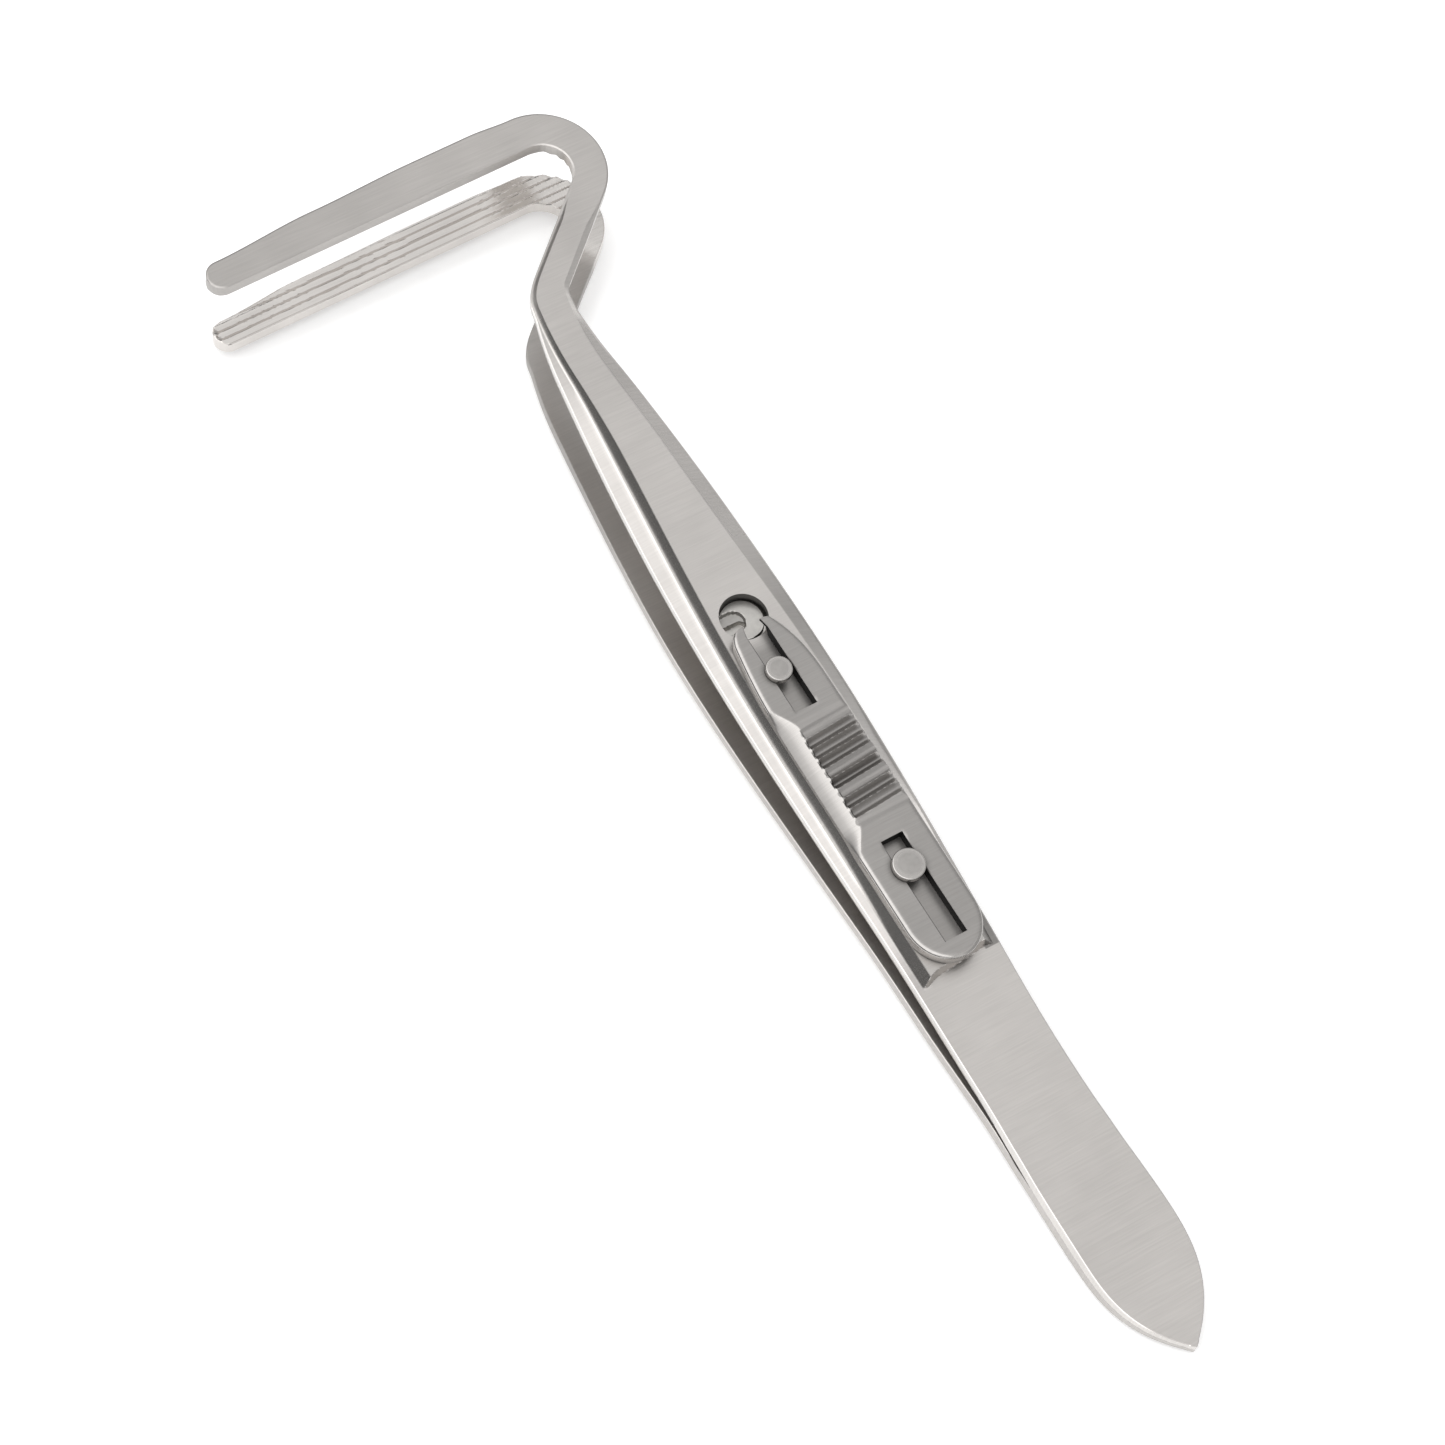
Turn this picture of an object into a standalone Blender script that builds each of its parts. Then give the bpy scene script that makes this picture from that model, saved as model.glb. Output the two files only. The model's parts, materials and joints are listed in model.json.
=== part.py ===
"""Slide-lock clamp forceps with hooked, serrated jaws, in metres, +Z up.

Two spring-steel arms meet in a leaf-shaped tail. A slide plate on the upper arm runs on two headed
rivets, and its fork catches a headed post on the lower arm when the arms are squeezed together.
Each arm is drawn in its own frame: x runs from the spring root to the jaws, y to the side that the
jaws point to, and z from the arm's inner face outwards. The lower arm is the upper one mirrored.
"""
from math import acos, asin, atan2, cos, pi, radians, sin, sqrt

import bmesh
import bpy
from mathutils import Vector

MM = 0.001

# Opening of the two arms and the running clearances
ARM_ANGLE = radians(2.8)           # each arm from the middle plane, at rest
ROOT_GAP = 0.30 * MM               # slit between a tail leaf and its arm, where the spring bends
ROOT_SLIT_AT = 0.85 * MM           # middle of that slit, ahead of the spring root
SLIDE_CLEARANCE = 0.05 * MM        # above the seat, and under the rivet heads
SLOT_CLEARANCE = 0.10 * MM         # beside each shank, and beside the post's neck
SHANK_CLEARANCE = 0.05 * MM        # around a fixed shank in its hole
HEAD_CLEARANCE = 0.25 * MM         # around the post's head in the arm's hole
RECESS = 0.05 * MM                 # a shank's far end below the face that it is finished to

# Tail leaf
TAIL_REACH = 17.5 * MM             # spring root to leaf tip
TAIL_THICKNESS = 1.10 * MM         # each strip
LEAF_TIP_THICKNESS = 0.60 * MM     # each strip, at the leaf's tip
LEAF_WIDEST_AT = 8.0 * MM          # behind the spring root
LEAF_HALF_WIDTH = 3.95 * MM
LEAF_TIP_HALF_WIDTH = 0.15 * MM
LEAF_POINT = 2.6                   # exponent of the leaf's tapering outline
EDGE_BREAK = 0.22 * MM             # small bevel along the outer edges

# Handle part of an arm
ROOT_HALF_WIDTH = 3.28 * MM
ROOT_WAIST_AT = 3.5 * MM
HANDLE_HALF_WIDTH = 4.10 * MM
HANDLE_WIDEST_AT = 37.0 * MM
HANDLE_FALL = 2.3                  # exponent of the handle's narrowing towards the elbow
STEP_AT = 13.5 * MM                # end of the tail flat, where a raised rib begins
STEP_LENGTH = 0.75 * MM
SEAT_HEIGHT = 1.75 * MM            # the rib's flat crest, which the slide plate runs on
SHELF_HEIGHT = 0.97 * MM           # thin edges left on both sides of the rib
CREST_HALF_WIDTH = 2.85 * MM       # half the crest's width at its widest
CREST_WIDEST_AT = 34.0 * MM
CREST_REAR_NARROWING = 0.40 * MM   # lost towards the tail flat
CREST_END_HALF_WIDTH = 1.10 * MM
FLANK_WIDTH = 0.32 * MM            # the rib's steep sides, in plan
TAPER_LEAD = 5.5 * MM              # the rib sinks from this far ahead of the latch post to the elbow

# Elbow, neck, hook and jaw
ELBOW_AT = 73.45 * MM
ELBOW_HALF_WIDTH = 1.45 * MM
ELBOW_SHIFT = 0.65 * MM            # the arm's middle line leaves the axis by this much at the elbow
SHIFT_LENGTH = 13.45 * MM
ELBOW_THICKNESS = 0.95 * MM
ELBOW_RADIUS = 2.45 * MM
NECK_ANGLE = radians(47.4)
NECK_LENGTH = 9.05 * MM
NECK_HALF_WIDTH = 1.33 * MM
HOOK_RADIUS = 3.65 * MM
JAW_LEAN = radians(2.0)            # the jaw leans back past a right angle
JAW_LENGTH = 27.1 * MM             # end of the hook's bend to the jaw's tip
JAW_HALF_WIDTH = 1.40 * MM
JAW_TIP_HALF_WIDTH = 0.95 * MM
JAW_TAPER_LENGTH = 8.5 * MM
JAW_TIP_FLAT = 0.12 * MM           # half the narrow flat that is left at the round tip
JAW_THICKNESS = 1.25 * MM
JAW_PROUD = 0.50 * MM              # the jaw's gripping face inside the arm's inner face
RIDGES = 5                         # lengthwise gripping ridges
RIDGE_DEPTH = 0.20 * MM
JAW_REST_GAP = 0.10 * MM           # left between the ridges at the end of the squeeze

# Slide plate, drawn at the rear end of its travel
REAR_OVERHANG = 0.70 * MM          # the plate's round rear end past the rib's end
PLATE_LENGTH = 29.35 * MM
PLATE_THICKNESS = 1.05 * MM
PAD_HALF_WIDTH = 2.70 * MM
PAD_EDGE_BREAK = 0.12 * MM
REAR_PAD_LENGTH = 11.85 * MM       # the plate's rear end to the ridged finger grip
FRONT_PAD_LENGTH = 8.6 * MM        # the finger grip to the fork's tips
REAR_END_LENGTH = 3.4 * MM
REAR_TIP_HALF_WIDTH = 0.26 * MM    # half the narrow flat that is left at the round rear end
FRONT_END_LENGTH = 4.2 * MM
FRONT_TIP_HALF_WIDTH = 1.45 * MM
FRONT_END_CURVE = 2.4              # exponent of the fork's tapering outline
GRIP_LEFT_WIDTH = 1.60 * MM        # the grip is notched on its left side only
GRIP_EDGE_BREAK = 0.45 * MM        # and sloped there
GRIP_RIDGE_PITCH = 0.86 * MM
GRIP_RIDGE_DEPTH = 0.32 * MM
GRIP_DIP = 0.08 * MM
SHOULDER_LENGTH = 2.2 * MM
REAR_SLOT_WALL = 1.55 * MM         # left between the rear slot and the plate's rear end
REAR_SLOT_LENGTH = 8.5 * MM
REAR_SLOT_SPARE = 1.55 * MM        # empty slot ahead of the rear rivet's shank
FORK_DEPTH = 7.7 * MM              # fork tips to the closed end of the front slot
SLIDE_TRAVEL = 2.6 * MM            # closed end of the front slot to the front rivet's shank

# Guide rivets in the upper arm
FRONT_SHANK_RADIUS = 0.72 * MM
FRONT_HEAD_RADIUS = 1.05 * MM
REAR_SHANK_RADIUS = 0.80 * MM
REAR_HEAD_RADIUS = 1.25 * MM
RIVET_HEAD_HEIGHT = 0.45 * MM
RIVET_EDGE_BREAK = 0.10 * MM

# Latch post in the lower arm
POST_STANDOFF = 1.2 * MM           # its axis ahead of the fork's tips
POST_HEAD_RADIUS = 1.55 * MM
POST_HEAD_HEIGHT = 2.00 * MM
POST_NECK_RADIUS = 0.50 * MM
POST_BODY_RADIUS = 1.05 * MM
POST_FOOT_RADIUS = 0.85 * MM
POST_EDGE_BREAK = 0.12 * MM
LATCH_PLAY = 0.12 * MM             # between the fork and the head when the arms are locked shut

ROUND_STEPS = 24                   # sides of the turned pieces and their holes
SMOOTH_BELOW = radians(30)         # edges flatter than this are shaded smooth
CUT_MARGIN = 1.0 * MM              # how far a cutter reaches past what it cuts

# Sizes that follow from the driving dimensions above
HALF_ROOT_GAP = ROOT_GAP / 2
ARM_START = ROOT_SLIT_AT + HALF_ROOT_GAP
LEAF_END = ROOT_SLIT_AT - HALF_ROOT_GAP
JAW_OUTER = JAW_THICKNESS - JAW_PROUD
PLATE_BASE = SEAT_HEIGHT + SLIDE_CLEARANCE
PLATE_TOP = PLATE_BASE + PLATE_THICKNESS
PLATE_REAR = STEP_AT + STEP_LENGTH - REAR_OVERHANG
PLATE_FRONT = PLATE_REAR + PLATE_LENGTH
GRIP_START = PLATE_REAR + REAR_PAD_LENGTH
GRIP_END = PLATE_FRONT - FRONT_PAD_LENGTH
GRIP_LENGTH = GRIP_END - GRIP_START
GRIP_RIDGES = round(GRIP_LENGTH / GRIP_RIDGE_PITCH)
REAR_SLOT_START = PLATE_REAR + REAR_SLOT_WALL
REAR_SLOT_END = REAR_SLOT_START + REAR_SLOT_LENGTH
REAR_SLOT_HALF_WIDTH = REAR_SHANK_RADIUS + SLOT_CLEARANCE
REAR_RIVET_AT = REAR_SLOT_END - REAR_SLOT_SPARE - REAR_SHANK_RADIUS
FORK_END = PLATE_FRONT - FORK_DEPTH
FORK_HALF_WIDTH = FRONT_SHANK_RADIUS + SLOT_CLEARANCE
FRONT_RIVET_AT = FORK_END + SLIDE_TRAVEL + FRONT_SHANK_RADIUS
POST_AT = PLATE_FRONT + POST_STANDOFF
TAPER_AT = POST_AT + TAPER_LEAD
HOLE_RADIUS = POST_HEAD_RADIUS + HEAD_CLEARANCE
HOLE_AT = POST_AT * (1 + 1 / cos(2 * ARM_ANGLE)) / 2
RIB_AT = STEP_AT + STEP_LENGTH
ELBOW_LEAN = atan2(2 * ELBOW_SHIFT, SHIFT_LENGTH)


def clear_scene():
    for old in list(bpy.data.objects):
        bpy.data.objects.remove(old, do_unlink=True)


def ease(value, start, end):
    """0 before start, 1 after end, and a smooth rise between them."""
    part = min(1.0, max(0.0, (value - start) / (end - start)))
    return part * part * (3 - 2 * part)


def handle_half_width(x):
    """Half the width of the leaf and the arm at a distance x from the spring root."""
    if x < -LEAF_WIDEST_AT:
        part = (-x - LEAF_WIDEST_AT) / (TAIL_REACH - LEAF_WIDEST_AT)
        return max(LEAF_TIP_HALF_WIDTH, LEAF_HALF_WIDTH * (1 - part ** LEAF_POINT))
    if x < ROOT_WAIST_AT:
        part = ease(x, -LEAF_WIDEST_AT, ROOT_WAIST_AT)
        return LEAF_HALF_WIDTH + (ROOT_HALF_WIDTH - LEAF_HALF_WIDTH) * part
    if x < HANDLE_WIDEST_AT:
        part = sin(pi / 2 * (x - ROOT_WAIST_AT) / (HANDLE_WIDEST_AT - ROOT_WAIST_AT))
        return ROOT_HALF_WIDTH + (HANDLE_HALF_WIDTH - ROOT_HALF_WIDTH) * part
    part = (x - HANDLE_WIDEST_AT) / (ELBOW_AT - HANDLE_WIDEST_AT)
    return HANDLE_HALF_WIDTH + (ELBOW_HALF_WIDTH - HANDLE_HALF_WIDTH) * part ** HANDLE_FALL


def handle_height(x):
    """Outer face of an arm above its inner face: tail flat, then the rib's crest, sinking to the elbow."""
    height = TAIL_THICKNESS + (SEAT_HEIGHT - TAIL_THICKNESS) * ease(x, STEP_AT, RIB_AT)
    return height + (ELBOW_THICKNESS - SEAT_HEIGHT) * ease(x, TAPER_AT, ELBOW_AT)


def crest_half_width(x):
    """Half the width of the rib's crest: widest under the finger grip, a cosine down to the elbow."""
    if x < CREST_WIDEST_AT:
        part = (CREST_WIDEST_AT - x) / (CREST_WIDEST_AT - RIB_AT)
        return CREST_HALF_WIDTH - CREST_REAR_NARROWING * part ** 2
    part = 0.5 + 0.5 * cos(pi * (x - CREST_WIDEST_AT) / (ELBOW_AT - CREST_WIDEST_AT))
    return CREST_END_HALF_WIDTH + (CREST_HALF_WIDTH - CREST_END_HALF_WIDTH) * part


def rib_share(x):
    """1 where the rib stands on the strip, 0 on the tail flat, fading to 0 at the elbow."""
    return ease(x, STEP_AT, RIB_AT) * (1 - ease(x, TAPER_AT, ELBOW_AT))


def station(x, y, heading, half_width, inner, outer, rib=0.0, crest=0.0, ridge=0.0):
    """One cross-section of an arm, square to its heading."""
    return {"x": x, "y": y, "heading": heading, "half_width": half_width, "inner": inner,
            "outer": outer, "rib": rib, "crest": crest, "ridge": ridge}


def elbow_point(turn):
    """Middle line round the elbow, where the arm has turned away from its axis by this angle."""
    x = ELBOW_AT + ELBOW_RADIUS * (sin(turn) - sin(ELBOW_LEAN))
    y = -ELBOW_SHIFT - ELBOW_RADIUS * (cos(ELBOW_LEAN) - cos(turn))
    return x, y


def hook_centre():
    """Centre of the hook's bend, from the elbow's bend and the straight neck."""
    x, y = elbow_point(NECK_ANGLE)
    x += NECK_LENGTH * cos(NECK_ANGLE) + HOOK_RADIUS * sin(NECK_ANGLE)
    y += HOOK_RADIUS * cos(NECK_ANGLE) - NECK_LENGTH * sin(NECK_ANGLE)
    return x, y


HOOK_X, HOOK_Y = hook_centre()
JAW_X = HOOK_X + HOOK_RADIUS * cos(JAW_LEAN)
JAW_Y = HOOK_Y + HOOK_RADIUS * sin(JAW_LEAN)

# The part lies on the flat crest of its lower arm's rib, so that arm is level at rest.
REST_TILT = ARM_ANGLE

# Each arm turns this far when it is squeezed shut.
SQUEEZE = ARM_ANGLE - asin((JAW_PROUD + JAW_REST_GAP / 2) / JAW_X)

# The post's head sits just above the fork when the arms are shut.
SHUT_GAP = 2 * POST_AT * sin(ARM_ANGLE - SQUEEZE)
POST_HEAD_BASE = PLATE_TOP + SHUT_GAP + LATCH_PLAY
POST_NECK_BASE = PLATE_BASE + SHUT_GAP - LATCH_PLAY


def handle_stations():
    """Cross-sections from the spring root to the elbow, closer together at the rib's end."""
    spans = ((ARM_START, STEP_AT, 4), (STEP_AT, RIB_AT, 4), (RIB_AT, TAPER_AT, 12), (TAPER_AT, ELBOW_AT, 8))
    stations = []
    for start, end, count in spans:
        for index in range(count):
            x = start + (end - start) * index / count
            shift = max(0.0, (x - ELBOW_AT + SHIFT_LENGTH) / SHIFT_LENGTH)
            stations.append(station(x, -ELBOW_SHIFT * shift ** 2, 0.0, handle_half_width(x), 0.0,
                                    handle_height(x), rib_share(x), crest_half_width(x)))
    return stations


def hook_stations():
    """Cross-sections round the elbow, down the neck, round the hook and along the jaw."""
    stations = []
    elbow_steps, neck_steps, hook_steps, jaw_steps, tip_steps = 5, 4, 14, 8, 4
    for index in range(elbow_steps):
        turn = ELBOW_LEAN + (NECK_ANGLE - ELBOW_LEAN) * index / elbow_steps
        half_width = ELBOW_HALF_WIDTH + (NECK_HALF_WIDTH - ELBOW_HALF_WIDTH) * ease(turn, ELBOW_LEAN, NECK_ANGLE)
        stations.append(station(*elbow_point(turn), -turn, half_width, 0.0, ELBOW_THICKNESS))
    neck_x, neck_y = elbow_point(NECK_ANGLE)
    for index in range(neck_steps):
        part = index / neck_steps
        rise = ease(part, 0, 1)
        stations.append(station(neck_x + NECK_LENGTH * part * cos(NECK_ANGLE),
                                neck_y - NECK_LENGTH * part * sin(NECK_ANGLE), -NECK_ANGLE,
                                NECK_HALF_WIDTH, -JAW_PROUD * rise,
                                ELBOW_THICKNESS + (JAW_OUTER - ELBOW_THICKNESS) * rise))
    hook_turn = NECK_ANGLE + pi / 2 + JAW_LEAN
    for index in range(hook_steps):
        turn = hook_turn * index / hook_steps
        heading = turn - NECK_ANGLE
        half_width = NECK_HALF_WIDTH + (JAW_HALF_WIDTH - NECK_HALF_WIDTH) * turn / hook_turn
        stations.append(station(HOOK_X + HOOK_RADIUS * sin(heading), HOOK_Y - HOOK_RADIUS * cos(heading),
                                heading, half_width, -JAW_PROUD, JAW_OUTER,
                                ridge=ease(turn, hook_turn / 2, hook_turn)))
    tip_length = JAW_TIP_HALF_WIDTH
    for index in range(jaw_steps + 1):
        reach = (JAW_LENGTH - tip_length) * index / jaw_steps
        taper = ease(reach, JAW_LENGTH - tip_length - JAW_TAPER_LENGTH, JAW_LENGTH - tip_length)
        half_width = JAW_HALF_WIDTH + (JAW_TIP_HALF_WIDTH - JAW_HALF_WIDTH) * taper
        stations.append(jaw_station(reach, half_width))
    for index in range(1, tip_steps + 1):
        turn = acos(JAW_TIP_FLAT / JAW_TIP_HALF_WIDTH) * index / tip_steps
        reach = JAW_LENGTH - tip_length + tip_length * sin(turn)
        stations.append(jaw_station(reach, JAW_TIP_HALF_WIDTH * cos(turn)))
    return stations


def jaw_station(reach, half_width):
    """A cross-section of the jaw at a distance from the end of the hook's bend."""
    return station(JAW_X - reach * sin(JAW_LEAN), JAW_Y + reach * cos(JAW_LEAN), pi / 2 + JAW_LEAN,
                   half_width, -JAW_PROUD, JAW_OUTER, ridge=half_width / JAW_HALF_WIDTH)


def arm_profile(place):
    """Points round one cross-section: over the outer side from left to right, back along the inner."""
    half_width, inner, outer, rib = place["half_width"], place["inner"], place["outer"], place["rib"]
    edge = min(EDGE_BREAK, half_width / 3)
    crest = min(place["crest"], half_width - edge - 2 * FLANK_WIDTH)
    plain = [(half_width - edge * (1 - cos(turn)), outer - edge * (1 - sin(turn)))
             for turn in (0, pi / 6, pi / 3, pi / 2)]
    ribbed = [(half_width, SHELF_HEIGHT - edge), (half_width - edge, SHELF_HEIGHT),
              (crest + FLANK_WIDTH, SHELF_HEIGHT), (crest, outer)]
    side = [(a[0] + (b[0] - a[0]) * rib, a[1] + (b[1] - a[1]) * rib) for a, b in zip(plain, ribbed)]
    points = [(half_width, inner)] + side
    points += [(-across, height) for across, height in reversed(side)]
    count = 2 * RIDGES
    for index in range(count):
        depth = RIDGE_DEPTH * place["ridge"] * (index % 2)
        points.append((-half_width + 2 * half_width * index / count, inner + depth))
    return points


def arm_rings(stations):
    """Corners of every cross-section in the arm's frame."""
    rings = []
    for place in stations:
        heading = place["heading"]
        ring = []
        for across, height in arm_profile(place):
            ring.append((place["x"] - across * sin(heading), place["y"] + across * cos(heading), height))
        rings.append(ring)
    return rings


def loft(rings, mirrored=False):
    """A closed mesh through rings of equally many points, mirrored to the other side on request."""
    shape = bmesh.new()
    sign = -1 if mirrored else 1
    loops = [[shape.verts.new((x, y, sign * z)) for x, y, z in ring] for ring in rings]
    count = len(loops[0])
    for first, second in zip(loops, loops[1:]):
        for index in range(count):
            following = (index + 1) % count
            shape.faces.new((first[index], first[following], second[following], second[index]))
    shape.faces.new(loops[0])
    shape.faces.new(loops[-1])
    bmesh.ops.recalc_face_normals(shape, faces=shape.faces)
    bmesh.ops.triangulate(shape, faces=shape.faces)
    return shape


def turned(profile):
    """A closed turned mesh about Z from (radius, height) pairs, bottom to top."""
    rings = []
    for radius, height in profile:
        angles = [2 * pi * index / ROUND_STEPS for index in range(ROUND_STEPS)]
        rings.append([(radius * cos(angle), radius * sin(angle), height) for angle in angles])
    return loft(rings)


def box(x_range, half_width, z_range):
    """A closed box, centred on y = 0."""
    rings = []
    for x in x_range:
        rings.append([(x, -half_width, z_range[0]), (x, half_width, z_range[0]),
                      (x, half_width, z_range[1]), (x, -half_width, z_range[1])])
    return loft(rings)


def steel(name, colour, roughness):
    """Satin or bright stainless steel."""
    material = bpy.data.materials.new(name)
    material.use_nodes = True
    shader = material.node_tree.nodes["Principled BSDF"]
    shader.inputs["Base Color"].default_value = (*colour, 1.0)
    shader.inputs["Metallic"].default_value = 1.0
    shader.inputs["Roughness"].default_value = roughness
    return material


def piece(name, shape, parent, finish, place=(0.0, 0.0, 0.0)):
    """One named solid under its parent, shaded smooth over its round parts."""
    mesh = bpy.data.meshes.new(name)
    shape.to_mesh(mesh)
    shape.free()
    mesh.shade_smooth()
    mesh.set_sharp_from_angle(angle=SMOOTH_BELOW)
    mesh.materials.append(steel(name + "_steel", *finish))
    thing = bpy.data.objects.new(name, mesh)
    bpy.context.collection.objects.link(thing)
    thing.parent = parent
    thing.location = place
    return thing


def cut(target, shape, name, place=(0.0, 0.0, 0.0)):
    """Takes a shape out of a piece that has the same parent."""
    mesh = bpy.data.meshes.new(name)
    shape.to_mesh(mesh)
    shape.free()
    cutter = bpy.data.objects.new(name, mesh)
    bpy.context.collection.objects.link(cutter)
    cutter.parent = target.parent
    cutter.location = place
    cutter.hide_render = True
    cutter.display_type = "WIRE"
    step = target.modifiers.new(name, "BOOLEAN")
    step.operation = "DIFFERENCE"
    step.object = cutter


def drill(target, x, radius, name, outward):
    """A round hole through an arm at a distance x from the spring root."""
    ends = sorted((-outward * CUT_MARGIN, outward * (SEAT_HEIGHT + CUT_MARGIN)))
    cut(target, turned([(radius, ends[0]), (radius, ends[1])]), name, (x, 0.0, 0.0))


def pivot(name, parent, turn):
    """An empty on the spring root's axis, turned about Y."""
    empty = bpy.data.objects.new(name, None)
    bpy.context.collection.objects.link(empty)
    empty.parent = parent
    empty.rotation_euler = (0.0, turn, 0.0)
    return empty


def leaf_rings():
    """Cross-sections of one tail leaf, closer together towards its tip."""
    rings = []
    steps = 16
    for index in range(steps + 1):
        x = LEAF_END - (TAIL_REACH + LEAF_END) * sin(pi / 2 * index / steps)
        half_width = handle_half_width(x)
        edge = min(EDGE_BREAK, half_width / 2)
        height = TAIL_THICKNESS + (LEAF_TIP_THICKNESS - TAIL_THICKNESS) * ease(-x, LEAF_WIDEST_AT, TAIL_REACH)
        shoulder = height - edge
        top = half_width - edge
        rings.append([(x, half_width, 0.0), (x, half_width, shoulder), (x, top, height),
                      (x, -top, height), (x, -half_width, shoulder), (x, -half_width, 0.0)])
    return rings


def grip_share(x):
    """1 along the finger grip, 0 on the pads, with smooth shoulders between them."""
    narrow = ease(x, GRIP_START - SHOULDER_LENGTH, GRIP_START)
    return narrow * (1 - ease(x, GRIP_END, GRIP_END + SHOULDER_LENGTH))


def plate_half_width(x):
    """Half the slide plate's width without the grip's notch: round rear end, pads and tapering fork."""
    if x < PLATE_REAR + REAR_END_LENGTH:
        part = 1 - (x - PLATE_REAR) / REAR_END_LENGTH
        return max(REAR_TIP_HALF_WIDTH, PAD_HALF_WIDTH * sqrt(max(0.0, 1 - part * part)))
    if x > PLATE_FRONT - FRONT_END_LENGTH:
        part = (x - PLATE_FRONT + FRONT_END_LENGTH) / FRONT_END_LENGTH
        return PAD_HALF_WIDTH + (FRONT_TIP_HALF_WIDTH - PAD_HALF_WIDTH) * part ** FRONT_END_CURVE
    return PAD_HALF_WIDTH


def plate_top(x):
    """Top of the slide plate: flat pads and a slightly dished grip with cross ridges."""
    part = (x - GRIP_START) / GRIP_LENGTH
    if part <= 0 or part >= 1:
        return PLATE_TOP
    groove = GRIP_RIDGE_DEPTH * (0.5 - 0.5 * cos(2 * pi * GRIP_RIDGES * part))
    return PLATE_TOP - groove - GRIP_DIP * sin(pi * part)


def plate_rings():
    """Cross-sections of the slide plate, four to each grip ridge."""
    shoulder_end = GRIP_END + SHOULDER_LENGTH
    taper_at = PLATE_FRONT - FRONT_END_LENGTH
    rear_end = PLATE_REAR + REAR_END_LENGTH
    rear_shoulder = GRIP_START - SHOULDER_LENGTH
    places = [rear_end - REAR_END_LENGTH * cos(pi / 2 * index / 8) for index in range(8)]
    places += [rear_end + (rear_shoulder - rear_end) * index / 2 for index in range(2)]
    places += [rear_shoulder + SHOULDER_LENGTH * index / 5 for index in range(5)]
    grip_steps = 4 * GRIP_RIDGES
    places += [GRIP_START + GRIP_LENGTH * index / grip_steps for index in range(grip_steps)]
    places += [GRIP_END + SHOULDER_LENGTH * index / 5 for index in range(5)]
    places += [shoulder_end + (taper_at - shoulder_end) * index / 2 for index in range(2)]
    places += [taper_at + FRONT_END_LENGTH * index / 6 for index in range(7)]
    rings = []
    for x in places:
        right = plate_half_width(x)
        narrow = grip_share(x)
        left = right + (GRIP_LEFT_WIDTH + GRIP_EDGE_BREAK - PAD_HALF_WIDTH) * narrow
        top = plate_top(x)
        edge = min(PAD_EDGE_BREAK, right / 3)
        slope = edge + (GRIP_EDGE_BREAK - edge) * narrow
        rings.append([(x, left, PLATE_BASE), (x, left, top - slope), (x, left - slope, top),
                      (x, edge - right, top), (x, -right, top - edge), (x, -right, PLATE_BASE)])
    return rings


def rivet_profile(shank_radius, head_radius):
    """A shank through arm and slide plate, with a flat head above the plate."""
    head_base = PLATE_TOP + SLIDE_CLEARANCE
    head_top = head_base + RIVET_HEAD_HEIGHT
    return [(shank_radius, RECESS), (shank_radius, head_base), (head_radius, head_base),
            (head_radius, head_top - RIVET_EDGE_BREAK), (head_radius - RIVET_EDGE_BREAK, head_top)]


def post_profile():
    """Foot in the lower arm, body on its inner face, slim neck, and the head that the fork catches."""
    head_top = POST_HEAD_BASE + POST_HEAD_HEIGHT
    return [(POST_FOOT_RADIUS, RECESS - SEAT_HEIGHT), (POST_FOOT_RADIUS, RECESS),
            (POST_BODY_RADIUS, RECESS), (POST_BODY_RADIUS, POST_NECK_BASE),
            (POST_NECK_RADIUS, POST_NECK_BASE), (POST_NECK_RADIUS, POST_HEAD_BASE),
            (POST_HEAD_RADIUS, POST_HEAD_BASE), (POST_HEAD_RADIUS, head_top - POST_EDGE_BREAK),
            (POST_HEAD_RADIUS - POST_EDGE_BREAK, head_top)]


def set_on_surface(instrument, pieces):
    """Moves the whole part so that its box stands centred on the origin."""
    bpy.context.view_layer.update()
    corners = [thing.matrix_world @ vertex.co for thing in pieces for vertex in thing.data.vertices]
    low = Vector([min(corner[axis] for corner in corners) for axis in range(3)])
    high = Vector([max(corner[axis] for corner in corners) for axis in range(3)])
    instrument.location = (-(low.x + high.x) / 2, -(low.y + high.y) / 2, -low.z)
    bpy.context.view_layer.update()


clear_scene()

SATIN = ((0.50, 0.49, 0.47), 0.34)
BRIGHT = ((0.56, 0.55, 0.53), 0.24)

instrument = pivot("instrument", None, -REST_TILT)
upper = pivot("upper_spring", instrument, -ARM_ANGLE)
lower = pivot("lower_spring", instrument, ARM_ANGLE)

# The two spring-steel strips, each drawn as its tail leaf and its arm
arm_shape = arm_rings(handle_stations() + hook_stations())
upper_tail_leaf = piece("upper_tail_leaf", loft(leaf_rings()), instrument, SATIN)
lower_tail_leaf = piece("lower_tail_leaf", loft(leaf_rings(), mirrored=True), instrument, SATIN)
upper_arm = piece("upper_arm", loft(arm_shape), upper, SATIN)
lower_arm = piece("lower_arm", loft(arm_shape, mirrored=True), lower, SATIN)

# Holes for the two rivets, the post's foot, and the post's head on its way through
drill(upper_arm, FRONT_RIVET_AT, FRONT_SHANK_RADIUS + SHANK_CLEARANCE, "front_rivet_hole", 1)
drill(upper_arm, REAR_RIVET_AT, REAR_SHANK_RADIUS + SHANK_CLEARANCE, "rear_rivet_hole", 1)
drill(upper_arm, HOLE_AT, HOLE_RADIUS, "latch_hole", 1)
drill(lower_arm, POST_AT, POST_FOOT_RADIUS + SHANK_CLEARANCE, "post_foot_hole", -1)

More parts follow.
